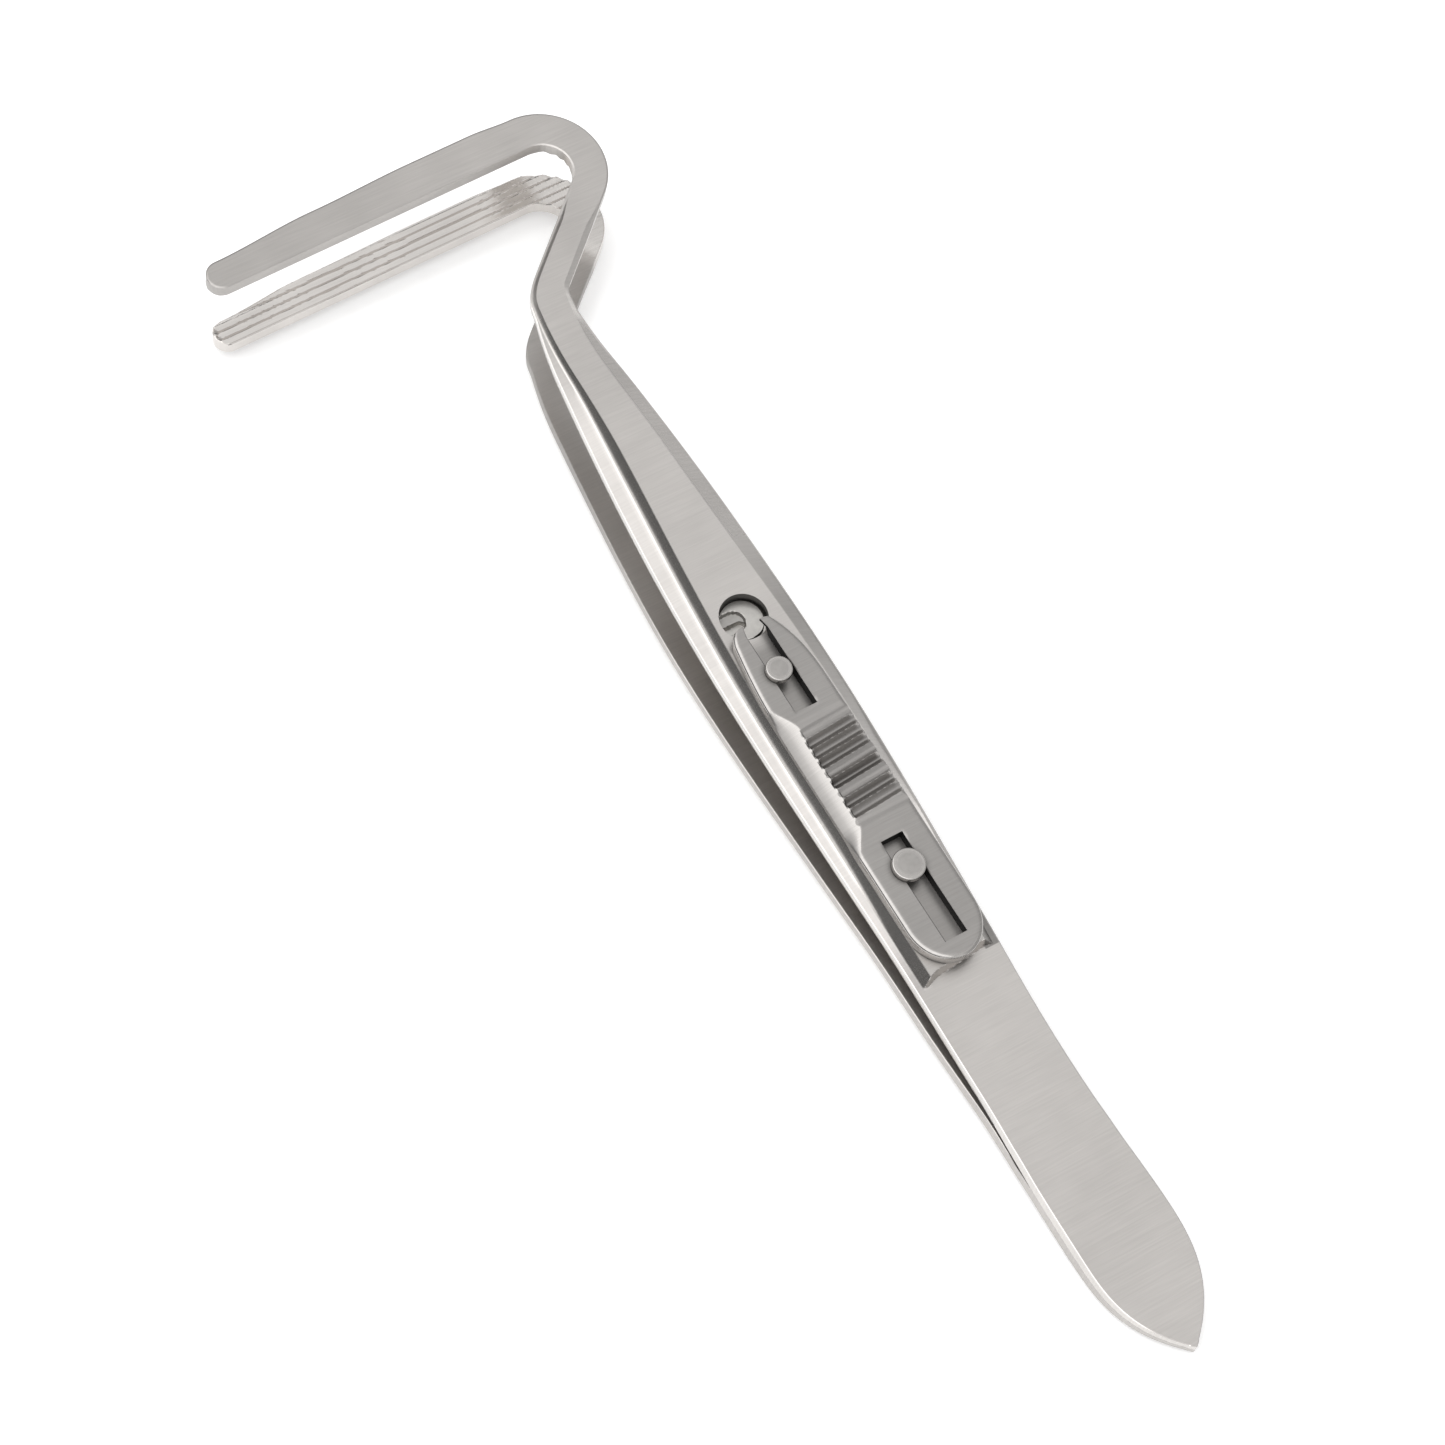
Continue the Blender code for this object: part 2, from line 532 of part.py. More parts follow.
# The slide plate with its rear slot, front fork and the fork's round mouth
slide_plate = piece("slide_plate", loft(plate_rings()), upper, SATIN)
through = (PLATE_BASE - CUT_MARGIN, PLATE_TOP + CUT_MARGIN)
cut(slide_plate, box((REAR_SLOT_START, REAR_SLOT_END), REAR_SLOT_HALF_WIDTH, through), "rear_slot")
cut(slide_plate, box((FORK_END, PLATE_FRONT + CUT_MARGIN), FORK_HALF_WIDTH, through), "fork_slot")
cut(slide_plate, turned([(HOLE_RADIUS, through[0]), (HOLE_RADIUS, through[1])]), "fork_mouth",
    (HOLE_AT, 0.0, 0.0))

# Turned pieces
front_guide_rivet = piece("front_guide_rivet", turned(rivet_profile(FRONT_SHANK_RADIUS, FRONT_HEAD_RADIUS)),
                          upper, BRIGHT, (FRONT_RIVET_AT, 0.0, 0.0))
rear_guide_rivet = piece("rear_guide_rivet", turned(rivet_profile(REAR_SHANK_RADIUS, REAR_HEAD_RADIUS)),
                         upper, BRIGHT, (REAR_RIVET_AT, 0.0, 0.0))
latch_post = piece("latch_post", turned(post_profile()), lower, BRIGHT, (POST_AT, 0.0, 0.0))

set_on_surface(instrument, [upper_tail_leaf, lower_tail_leaf, upper_arm, lower_arm, slide_plate,
                            front_guide_rivet, rear_guide_rivet, latch_post])
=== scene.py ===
"""Looks of a slide-lock clamp forceps: two spring-steel strips, a sliding catch on two rivets, and a latch post.

Sizes are in millimetres until a piece is made. An arm's own frame has x from the spring root to the jaws, y to
the side that the jaws point to, and z from the arm's inner face outwards. A place along a strip is its run, which
is x on the handle and goes on round the elbow, the neck and the hook to the jaw's tip.
"""
import json
from math import atan2, cos, pi, radians, sin
from types import SimpleNamespace

import bpy
import numpy as np
from mathutils import Matrix, Vector


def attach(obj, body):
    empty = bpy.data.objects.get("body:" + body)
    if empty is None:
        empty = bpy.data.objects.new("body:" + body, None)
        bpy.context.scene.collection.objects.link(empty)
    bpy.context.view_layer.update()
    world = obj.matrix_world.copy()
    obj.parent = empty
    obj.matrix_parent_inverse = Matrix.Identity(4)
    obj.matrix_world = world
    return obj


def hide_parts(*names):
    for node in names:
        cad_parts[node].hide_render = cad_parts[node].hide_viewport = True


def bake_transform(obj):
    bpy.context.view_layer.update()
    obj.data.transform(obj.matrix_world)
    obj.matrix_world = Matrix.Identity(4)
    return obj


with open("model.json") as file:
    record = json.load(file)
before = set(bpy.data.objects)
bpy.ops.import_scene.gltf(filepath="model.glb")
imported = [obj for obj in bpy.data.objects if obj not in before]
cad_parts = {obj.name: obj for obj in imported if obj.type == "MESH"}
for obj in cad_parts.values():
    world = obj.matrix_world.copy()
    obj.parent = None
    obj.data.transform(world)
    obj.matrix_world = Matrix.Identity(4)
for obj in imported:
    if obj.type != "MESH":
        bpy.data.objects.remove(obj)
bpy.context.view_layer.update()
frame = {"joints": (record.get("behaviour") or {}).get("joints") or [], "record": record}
bpy.context.scene.view_settings.view_transform = "Standard"
MM = 0.001

# Spring strips
# Each arm and its half of the tail are one strip of stainless spring steel, forged with a raised rib along the
# handle, satin-brushed on the flats and polished along the edges. The tail halves are welded face to face.
JOINTS = {joint["name"]: joint for joint in frame["joints"]}
MOUNTS = {mount["name"]: mount for mount in frame["record"]["mounts"]}
SPRING_ROOT = np.array(JOINTS["upper_arm_squeeze"]["pos_m"]) / MM
SLIDE_AXIS = JOINTS["slide_lock"]["axis"]
TAIL_UP = MOUNTS["tail_face"]["axis"]
TAIL_TILT = atan2(-TAIL_UP[0], TAIL_UP[2])
UPPER_TILT = atan2(SLIDE_AXIS[2], SLIDE_AXIS[0])
LOWER_TILT = 2 * TAIL_TILT - UPPER_TILT


def ease(value, start, end):
    """A smooth rise from 0 at start to 1 at end: three times the square of the share, less twice its cube."""
    share = np.clip((value - start) / (end - start), 0.0, 1.0)
    return share * share * (3 - 2 * share)


def band(value, start, full, fade, end):
    """A smooth rise from start to full, times one less a smooth rise from fade to end."""
    return ease(value, start, full) * (1 - ease(value, fade, end))


def quarter_round(share):
    """Fall of a quarter round: one less the root of one less the square of the share of its width."""
    return 1 - np.sqrt(1 - share ** 2)


def spread(*spans):
    """Places along a line, from rows of start, end and count, with each join once and the last end included."""
    places = [np.linspace(start, end, count, endpoint=False) for start, end, count in spans]
    return np.concatenate(places + [[spans[-1][1]]])


def bend(x, y, heading, end_heading, radius, count):
    """Places round a bend from a point and heading: the heading turns evenly about a centre at the radius."""
    side = np.sign(end_heading - heading)
    turning = np.linspace(heading, end_heading, count + 1)
    along = x + side * radius * (np.sin(turning) - sin(heading))
    across = y + side * radius * (cos(heading) - np.cos(turning))
    return along, across, turning


TAIL_TIP = -17.4
TIP_START = 0.01
NOSE = 0.4
NOSE_SPARE = 0.05
LEAF_END = -8.0
LEAF_POWER = 2.85
LEAF_HALF_WIDTH = 3.83
WAIST_AT = 5.0
WAIST_HALF_WIDTH = 3.50
WIDEST_AT = 37.0
HANDLE_HALF_WIDTH = 4.22
HANDLE_FALL = 35.6
ELBOW_HALF_WIDTH = 1.62


def handle_half_width(x):
    """Half the plan width of leaf and handle: a leaf that closes as one less a power of the share, a smooth waist,
    a smooth swelling up to the widest place and a square down to the elbow."""
    leaf = LEAF_HALF_WIDTH * (1 - np.clip((LEAF_END - x) / (LEAF_END - TAIL_TIP), 0, 1) ** LEAF_POWER)
    waist = LEAF_HALF_WIDTH + (WAIST_HALF_WIDTH - LEAF_HALF_WIDTH) * ease(x, LEAF_END, WAIST_AT)
    rise = WAIST_HALF_WIDTH + (HANDLE_HALF_WIDTH - WAIST_HALF_WIDTH) * ease(x, WAIST_AT, WIDEST_AT)
    fallen = np.clip((x - WIDEST_AT) / HANDLE_FALL, 0, 1) ** 2
    fall = HANDLE_HALF_WIDTH + (ELBOW_HALF_WIDTH - HANDLE_HALF_WIDTH) * fallen
    nose = np.sqrt(NOSE ** 2 - (NOSE - np.clip(x - TAIL_TIP, TIP_START, NOSE)) ** 2)
    width = np.select([x < LEAF_END, x < WAIST_AT, x < WIDEST_AT], [leaf, waist, rise], fall)
    return np.where(x < TAIL_TIP + NOSE, np.minimum(nose, width + NOSE_SPARE), width)


ROOT_FROM, ROOT_TO = -6, 4
STEP_FROM, STEP_TO = 13.0, 15.0
HOLE_AT = 44.12
HOLE_RADIUS = 1.85
SKIRT = 2.15
SWAY = -0.20
TAIL_SWAY_SPAN = (-10, 3)
HANDLE_SWAY_SPAN = (6, 20, 27, 52)
LEAN_AT = 67.0
ELBOW_AT = 73.15
ELBOW_SHIFT = 0.48
ELBOW_RADIUS = 3.60
ELBOW_ROWS = 16
NECK_ANGLE = radians(47.4)
NECK_LENGTH = 8.75
NECK_HALF_WIDTH = 1.33
NECK_ROWS = 20
HOOK_RADIUS = 3.65
HOOK_ROWS = 72
JAW_LEAN = radians(2.0)
JAW_LENGTH = 27.1
JAW_HALF_WIDTH = 1.40
JAW_TIP_HALF_WIDTH = 1.17
JAW_TAPER = 8.5
JAW_SWELL = 0.11
JAW_SWELL_SPAN = (0, 3.5, 9, 17)
TIP_FINE = 0.15
TIP_END = 0.002
NO_TIP = -1.0


def rows_of(*columns):
    """Rows of numbers from their columns, with single values repeated."""
    return np.stack(np.broadcast_arrays(*columns), axis=1)


def strip_path():
    """The strip's middle line from tail to jaw, and the place where the jaw starts. Each row has x, y, heading,
    half width, run, share of the jaw's level, and distance past the middle of the jaw's round tip. The handle
    sways and leans as a square to the elbow, the elbow and hook are arcs, and the jaw tapers and swells on its
    inner side."""
    x = spread((TAIL_TIP + TIP_START, TAIL_TIP + NOSE, 8), (TAIL_TIP + NOSE, ROOT_FROM, 24),
               (ROOT_FROM, ROOT_TO, 28), (ROOT_TO, STEP_FROM, 12), (STEP_FROM, STEP_TO, 36),
               (STEP_TO, HOLE_AT - SKIRT, 30), (HOLE_AT - SKIRT, HOLE_AT + SKIRT, 16),
               (HOLE_AT + SKIRT, ELBOW_AT, 36))
    lean = np.clip((x - LEAN_AT) / (ELBOW_AT - LEAN_AT), 0, None)
    y = SWAY * (1 - ease(x, *TAIL_SWAY_SPAN)) + SWAY * band(x, *HANDLE_SWAY_SPAN) - ELBOW_SHIFT * lean ** 2
    heading = np.arctan(-ELBOW_SHIFT * 2 * lean / (ELBOW_AT - LEAN_AT))
    rows = [rows_of(x, y, heading, handle_half_width(x), x, 0.0, NO_TIP)]

    turned = NECK_ANGLE + heading[-1]
    x, y, heading = bend(x[-1], y[-1], heading[-1], -NECK_ANGLE, ELBOW_RADIUS, ELBOW_ROWS)
    share = np.arange(ELBOW_ROWS) / ELBOW_ROWS
    width = ELBOW_HALF_WIDTH + (NECK_HALF_WIDTH - ELBOW_HALF_WIDTH) * ease(share, 0, 1)
    run = ELBOW_AT + share * ELBOW_RADIUS * turned
    rows.append(rows_of(x[:-1], y[:-1], heading[:-1], width, run, 0.0, NO_TIP)[1:])

    neck_run = ELBOW_AT + ELBOW_RADIUS * turned
    share = np.arange(NECK_ROWS) / NECK_ROWS
    neck_x = x[-1] + NECK_LENGTH * share * cos(NECK_ANGLE)
    neck_y = y[-1] - NECK_LENGTH * share * sin(NECK_ANGLE)
    rows.append(rows_of(neck_x, neck_y, -NECK_ANGLE, NECK_HALF_WIDTH, neck_run + NECK_LENGTH * share,
                        ease(share, 0, 1), NO_TIP))

    hook_x = x[-1] + NECK_LENGTH * cos(NECK_ANGLE)
    hook_y = y[-1] - NECK_LENGTH * sin(NECK_ANGLE)
    hook_run = neck_run + NECK_LENGTH
    x, y, heading = bend(hook_x, hook_y, -NECK_ANGLE, pi / 2 + JAW_LEAN, HOOK_RADIUS, HOOK_ROWS)
    turn = NECK_ANGLE + pi / 2 + JAW_LEAN
    share = np.arange(HOOK_ROWS) / HOOK_ROWS
    width = NECK_HALF_WIDTH + (JAW_HALF_WIDTH - NECK_HALF_WIDTH) * ease(share, 0, 1)
    run = hook_run + HOOK_RADIUS * turn * share
    rows.append(rows_of(x[:-1], y[:-1], heading[:-1], width, run, 1.0, NO_TIP))

    jaw_x, jaw_y = x[-1], y[-1]
    tip_at = JAW_LENGTH - JAW_TIP_HALF_WIDTH
    reach = spread((0, tip_at - JAW_TAPER, 60), (tip_at - JAW_TAPER, tip_at, 40),
                   (tip_at, JAW_LENGTH - TIP_FINE, 12), (JAW_LENGTH - TIP_FINE, JAW_LENGTH - TIP_END, 6))
    past = reach - tip_at
    inward = (JAW_HALF_WIDTH - JAW_TIP_HALF_WIDTH) * ease(reach, tip_at - JAW_TAPER, tip_at)
    inward = inward - JAW_SWELL * band(reach, *JAW_SWELL_SPAN)
    tip = np.sqrt(JAW_TIP_HALF_WIDTH ** 2 - np.maximum(past, 0) ** 2)
    rows.append(rows_of(jaw_x - reach * sin(JAW_LEAN) - inward * cos(JAW_LEAN),
                        jaw_y + reach * cos(JAW_LEAN) - inward * sin(JAW_LEAN), pi / 2 + JAW_LEAN,
                        np.where(past > 0, tip, JAW_HALF_WIDTH - inward),
                        hook_run + HOOK_RADIUS * turn + reach, 1.0, past))
    return np.concatenate(rows), (jaw_x, jaw_y)


CREST_WIDEST_AT = 34.0
CREST_HALF_WIDTH = 2.85
CREST_REAR_LOSS = 0.40
CREST_REAR_LENGTH = 19.0
CREST_FRONT_HALF_WIDTH = 1.15
CREST_FALL = 38.0


def crest_half_width(x):
    """Half the width of the rib's flat crest: widest under the finger grip, less a square of the distance behind
    it, and falling as a cosine to the elbow."""
    rear = CREST_HALF_WIDTH - CREST_REAR_LOSS * (np.maximum(CREST_WIDEST_AT - x, 0) / CREST_REAR_LENGTH) ** 2
    wave = 0.5 + 0.5 * np.cos(pi * np.clip((x - CREST_WIDEST_AT) / CREST_FALL, 0, 1))
    fall = CREST_FRONT_HALF_WIDTH + (CREST_HALF_WIDTH - CREST_FRONT_HALF_WIDTH) * wave
    return np.where(x < CREST_WIDEST_AT, rear, fall)


LOWER_SIDEWAYS = ((0.22, 2, 12), (-0.42, 42, 68), (-0.40, 72, 86))
LOWER_FORWARD = 0.20
LOWER_FORWARD_SPAN = (72, 86)
RIB_HEIGHT = 0.78
RIB_END_SPAN = (58, 76)
CREST_SHIFT = -0.20
CREST_SHIFT_SPAN = (14, 27, 60, 72)
CREST_LEAST_SHARE = 0.2
NECK_BEVEL = 0.26
NECK_RISE_SPAN = (64, 73)
NECK_END_LEVEL = (0.6, 1.0)
EDGE_BEVEL = 0.07
JAW_EDGE_BEVEL = 0.05
EDGE_SHARE = 0.30
FLANK_SLOPE = 0.88
FLANK_SLOPE_GAIN = 0.15
FLANK_SLOPE_SPAN = (18, 26)
FLANK_LEAST = 0.03
LEFT_FLANK_SHARE = 0.90
RIGHT_FLANK_SHARE = 0.92
RIGHT_FACET_SPAN = (20, 36)
EDGE_COLUMNS, LEDGE_COLUMNS, FACET_COLUMNS, CREST_COLUMNS = 3, 8, 9, 48


def strip_plan(side):
    """Plan grid of a strip, a row per cross-section. Columns run across from the left edge: bevel, ledge, the
    rib's flank, its crest, and the same again. A flank is as wide as the rib is high, times a slope, and the
    right one widens to a facet ahead of the slide's rear pad. The lower strip's path is set off sideways and
    forward by smooth steps, each an offset, a start and an end."""
    path, jaw_start = strip_path()
    path_x, path_y, heading, half, run, level, past = [path[:, k:k + 1] for k in range(7)]
    if side < 0:
        path_y = path_y + sum(offset * ease(run, start, end) for offset, start, end in LOWER_SIDEWAYS)
        path_x = path_x + LOWER_FORWARD * ease(run, *LOWER_FORWARD_SPAN)
    neck = ease(run, *NECK_RISE_SPAN) * (1 - ease(level, *NECK_END_LEVEL))
    rib = RIB_HEIGHT * (1 - ease(run, *RIB_END_SPAN)) + NECK_BEVEL * neck
    shift = CREST_SHIFT * band(run, *CREST_SHIFT_SPAN)
    edge = np.minimum(EDGE_BEVEL + JAW_EDGE_BEVEL * level, EDGE_SHARE * half)
    steep = (FLANK_SLOPE + FLANK_SLOPE_GAIN * ease(run, *FLANK_SLOPE_SPAN)) * rib + FLANK_LEAST
    crest = np.minimum(crest_half_width(run), half - edge - steep - FLANK_LEAST + shift)
    crest = np.maximum(crest, CREST_LEAST_SHARE * half)
    left_flank = np.minimum(steep, LEFT_FLANK_SHARE * (half - edge - crest - shift))
    right_most = RIGHT_FLANK_SHARE * (half - edge - crest + shift)
    right_flank = np.minimum(np.maximum(right_most * ease(run, *RIGHT_FACET_SPAN), left_flank), right_most)
    sides = []
    for flank, offset in ((left_flank, shift), (right_flank, -shift)):
        foot = crest + offset + flank
        sides.append(np.concatenate([
            half - edge * np.linspace(0, 1, EDGE_COLUMNS, endpoint=False),
            half - edge - (half - edge - foot) * np.linspace(0, 1, LEDGE_COLUMNS, endpoint=False) ** 2,
            foot - flank * np.linspace(0, 1, FACET_COLUMNS, endpoint=False)], axis=1))
    middle = shift + crest * np.linspace(1, -1, CREST_COLUMNS + 1)[None]
    across = np.concatenate([sides[0], middle, -sides[1][:, ::-1]], axis=1)
    inset = half - np.abs(across)
    inset = np.where(past > 0, JAW_TIP_HALF_WIDTH - np.hypot(across, past), inset)
    return SimpleNamespace(
        x=path_x - across * np.sin(heading), y=path_y + across * np.cos(heading), jaw_start=jaw_start,
        half=half, run=run, level=level, neck=neck, rib=rib, shift=shift, edge=edge, crest=crest, across=across,
        lateral=np.abs(across - shift), flank=np.where(across > shift, left_flank, right_flank), inset=inset)


TIP_THICKNESS = 0.55
LEAF_THICKNESS = 1.15
STRIP_THICKNESS = 0.97
LEAF_RISE_SPAN = (-18, -7)
LEAF_FALL_SPAN = (-4, 13)
JAW_OUTER = 0.75
JAW_PROUD = 0.50
STEP_AT = 14.12
STEP_LENGTH = 0.28
STEP_SKEW = 0.10
STEP_LEFT_CORNER = 0.40
STEP_LEFT_SPAN = (1.6, 3.4)
STEP_RIGHT_CORNER = 0.55
STEP_RIGHT_SPAN = (2.5, 3.5)
FLANK_HOLLOW = 0.25
FLANK_HOLLOW_SPAN = (16, 24)
BEVEL_FALL = 0.5
LEDGE_FALL = 0.19
LEDGE_FALL_LENGTH = 4
HANDLE_END_SPAN = (62, 73)
RIDGE_PITCH = 0.70
RIDGE_DEPTH = 0.22
RIDGES_ACROSS = (5.2, 3.4)
RIDGES_ALONG = (26.6, 25.9)
WELD_EDGE = 0.02
INNER_EDGE = 0.08
INNER_EDGE_SPAN = (-1, 3)
LEAST_THICKNESS = 0.02


def step_share(plan):
    """Share of the way up the rib's rear step, which lies askew and runs back at both sides of the strip."""
    corner = (STEP_LEFT_CORNER * ease(plan.across, *STEP_LEFT_SPAN)
              + STEP_RIGHT_CORNER * ease(-plan.across, *STEP_RIGHT_SPAN))
    return np.clip((plan.run - STEP_AT + STEP_SKEW * plan.across + corner) / STEP_LENGTH, 0, 1)


def flank_share(plan):
    """Share of the way up the rib's flank."""
    return np.clip((plan.crest + plan.flank - plan.lateral) / plan.flank, 0, 1)


def outer_height(plan):
    """Height of the outer face: the flat strip, plus the rib times a power of the way up its step and flank, less
    a bevel at the edges and the ledges' slope."""
    climb = 1 - np.minimum(np.hypot(1 - step_share(plan), 1 - flank_share(plan)), 1)
    hollow = 1 + FLANK_HOLLOW * ease(plan.run, *FLANK_HOLLOW_SPAN) * (plan.across > plan.shift)
    flat = TIP_THICKNESS + (LEAF_THICKNESS - TIP_THICKNESS) * ease(plan.run, *LEAF_RISE_SPAN)
    flat = flat - (LEAF_THICKNESS - STRIP_THICKNESS) * ease(plan.run, *LEAF_FALL_SPAN)
    flat = flat + (JAW_OUTER - STRIP_THICKNESS) * plan.level - NECK_BEVEL * plan.neck
    bevel = BEVEL_FALL * np.clip(plan.edge - plan.inset, 0, None)
    sloping = band(plan.run, STEP_AT, STEP_AT + LEDGE_FALL_LENGTH, *HANDLE_END_SPAN)
    shed = LEDGE_FALL * np.clip(plan.lateral - plan.crest - plan.flank, 0, None) * sloping
    return flat + plan.rib * climb ** hollow - bevel - shed


def inner_height(plan, outer):
    """Height of the inner face: flat, proud on the jaw, with V-shaped grooves along the jaw and a quarter round at
    the edges."""
    from_jaw_x, from_jaw_y = plan.x - plan.jaw_start[0], plan.y - plan.jaw_start[1]
    cross_jaw = -from_jaw_x * cos(JAW_LEAN) - from_jaw_y * sin(JAW_LEAN)
    ridged = plan.level * ease(cross_jaw, *RIDGES_ACROSS) * ease(from_jaw_y, *RIDGES_ALONG)
    groove = 1 - np.abs(1 - 2 * np.mod(cross_jaw / RIDGE_PITCH, 1))
    edge = np.minimum(WELD_EDGE + INNER_EDGE * ease(plan.run, *INNER_EDGE_SPAN), EDGE_SHARE * plan.half)
    rounding = edge * quarter_round(np.clip(1 - plan.inset / edge, 0, 1))
    inner = -JAW_PROUD * plan.level + RIDGE_DEPTH * ridged * groove + rounding
    return np.minimum(inner, outer - LEAST_THICKNESS)


SEAM = 0.02
FLANK_LEAD = 0.9
FLANK_LEAD_FULL = 1.17
FLANK_END_SPAN = (68, 76)
# Polish and painted light on the crest beside the grip.
BESIDE_GRIP_LIGHT_SPAN = (24, 26, 34.5, 37)
BESIDE_GRIP_LIGHT_ACROSS = (0.8, 1.2)
# Painted shade on the crest under the slide.
UNDER_SLIDE_SHADE_SPAN = (14.5, 15.5, 41, 42.3)
UNDER_SLIDE_SHADE_ACROSS = (0.9, 1.3)
UNDER_SLIDE_PAINTED_SHADE = -1.7
# Painted light on the rib's rear step.
STEP_PAINTED_LIGHT = 1.6
# Painted shade in the rear right corner beside the slide's rear end.
SHADED_CORNER_END = 17.5
SHADED_CORNER_ACROSS = -1.9
CORNER_PAINTED_SHADE = -2.2
# Painted shade on the right facet.
SHADED_FACET_SPAN = (24, 30, 42, 54)
FACET_PAINTED_SHADE = -2.25
# Darker along the jaw, most at its tip.
JAW_ROOT_DARKENING = 0.2
JAW_TIP_DARKENING = 0.8
BRIGHT_EDGE_END = 74


def outer_finish_and_painted_light(plan):
    """Finish of the outer face, from dark at -4 over satin at 0 to bright at 2, polish mixed with painted light
    and
    shade: polished flanks and edges, painted light on the step, a polished crest beside the grip painted lighter,
    painted shade under the slide, in the rear right corner and on the right facet, and darker along the jaw."""
    run, across, crest = plan.run, plan.across, plan.crest
    step, up_flank = step_share(plan), flank_share(plan)
    on_crest = plan.lateral <= crest + SEAM
    on_left = across > 0
    flanks = band(run, STEP_AT - FLANK_LEAD * on_left, STEP_AT + 1 - FLANK_LEAD_FULL * on_left, *FLANK_END_SPAN)
    left_ledge = across - plan.shift > crest + plan.flank - SEAM
    # Polished and painted lighter beside the grip.
    lit_beside_grip = band(run, *BESIDE_GRIP_LIGHT_SPAN) * ease(across, *BESIDE_GRIP_LIGHT_ACROSS)
    # Painted shade on the crest under the slide.
    under_slide_shade = band(run, *UNDER_SLIDE_SHADE_SPAN) * (1 - ease(np.abs(across), *UNDER_SLIDE_SHADE_ACROSS))
    polish_and_painted_light = flanks * ~on_crest - flanks * left_ledge + on_crest * (lit_beside_grip + UNDER_SLIDE_PAINTED_SHADE * under_slide_shade)
    # Painted light on the rising part of the step.
    polish_and_painted_light = np.where((step > SEAM) & (step < 1 - SEAM) & (up_flank > 0.5), STEP_PAINTED_LIGHT, polish_and_painted_light)
    # Painted shade in the rear right corner.
    corner = (run > STEP_AT) & (run < SHADED_CORNER_END) & (across < SHADED_CORNER_ACROSS) & (plan.lateral > crest)
    polish_and_painted_light = np.where(corner, CORNER_PAINTED_SHADE, polish_and_painted_light)
    # Painted shade on the right facet.
    polish_and_painted_light = polish_and_painted_light + FACET_PAINTED_SHADE * band(run, *SHADED_FACET_SPAN) * (across < plan.shift) * ~on_crest
    along_jaw = np.clip((plan.y - plan.jaw_start[1]) / JAW_LENGTH, 0, 1)
    # Darker along the jaw, most at its tip.
    polish_and_painted_light = polish_and_painted_light - (JAW_ROOT_DARKENING + JAW_TIP_DARKENING * along_jaw) * plan.level
    at_edge = (run < BRIGHT_EDGE_END) * ease(plan.edge - plan.inset, -SEAM, SEAM)
    return polish_and_painted_light + (1 - polish_and_painted_light) * at_edge


INSIDE_POLISH = 0.3
UPPER_WALL_POLISH = 0.7
UPPER_JAW_LEVEL = (0.3, 1.0)
# Painted shade on the upper jaw's walls.
UPPER_JAW_WALL_PAINTED_SHADE = -1.3
LOWER_JAW_LEVEL = (0.8, 1.0)
LOWER_JAW_POLISH = 0.7
# Painted shade on the lower strip's inner face ahead of the post, and on its walls.
LOWER_INSIDE_SHADE_SPAN = (45, 62)
LOWER_INSIDE_PAINTED_SHADE = -1.2
LOWER_WALL_PAINTED_SHADE = -0.3


def inner_finish_and_painted_light(plan, side, rim):
    """Finish of the inner face and its rim, with painted shade. The upper strip's walls are polished as far as the
    elbow and take painted shade round the jaw. The lower strip's jaw is polished, and its inner face ahead of the
    post and its walls, short of the jaw, take painted shade."""
    if side > 0:
        jaw = ease(plan.level, *UPPER_JAW_LEVEL)
        wall = UPPER_WALL_POLISH * (plan.run < BRIGHT_EDGE_END) + UPPER_JAW_WALL_PAINTED_SHADE * jaw
        return INSIDE_POLISH + rim * wall
    jaw = ease(plan.level, *LOWER_JAW_LEVEL)
    # Painted shade on the lower strip's inner face and walls, short of the jaw.
    lower_painted_shade = LOWER_INSIDE_PAINTED_SHADE * ease(plan.run, *LOWER_INSIDE_SHADE_SPAN) + LOWER_WALL_PAINTED_SHADE * rim
    return INSIDE_POLISH + LOWER_JAW_POLISH * jaw + lower_painted_shade * (1 - jaw)


def grid_faces(index, flip=False):
    """Four-cornered faces between neighbouring rows and columns of a table of point numbers."""
    faces = np.stack([index[:-1, :-1], index[:-1, 1:], index[1:, 1:], index[1:, :-1]], axis=-1).reshape(-1, 4)
    return faces[:, ::-1] if flip else faces


def closed(rings):
    """A table of rings of point numbers, with each ring's first number again at its end."""
    return np.concatenate([rings, rings[:, :1]], axis=1)


def rim_of(index):
    """The point numbers round the border of a block of a grid, in order."""
    return np.concatenate([index[0, :-1], index[:-1, -1], index[-1, :0:-1], index[:0:-1, 0]])


BEND_SPAN = (-0.6, 2.6)
ROOT_BOW = 0.17
ROOT_BOW_SPAN = (-2.9, 0.2, 0.2, 32)


def to_world(points, arm_tilt, side):
    """Arm frame to world: z mirrored for the lower side, turned up about the spring root by a tilt that eases from
    the tail's to the arm's just ahead of the root. A slight outward bow starts where the weld ends."""
    x, y, z = points[..., 0], points[..., 1], side * points[..., 2]
    tilt = TAIL_TILT + (arm_tilt - TAIL_TILT) * ease(x, *BEND_SPAN)
    z = z + side * ROOT_BOW * band(x, *ROOT_BOW_SPAN)
    turned = np.stack([x * np.cos(tilt) - z * np.sin(tilt), y, x * np.sin(tilt) + z * np.cos(tilt)], axis=-1)
    return SPRING_ROOT + turned


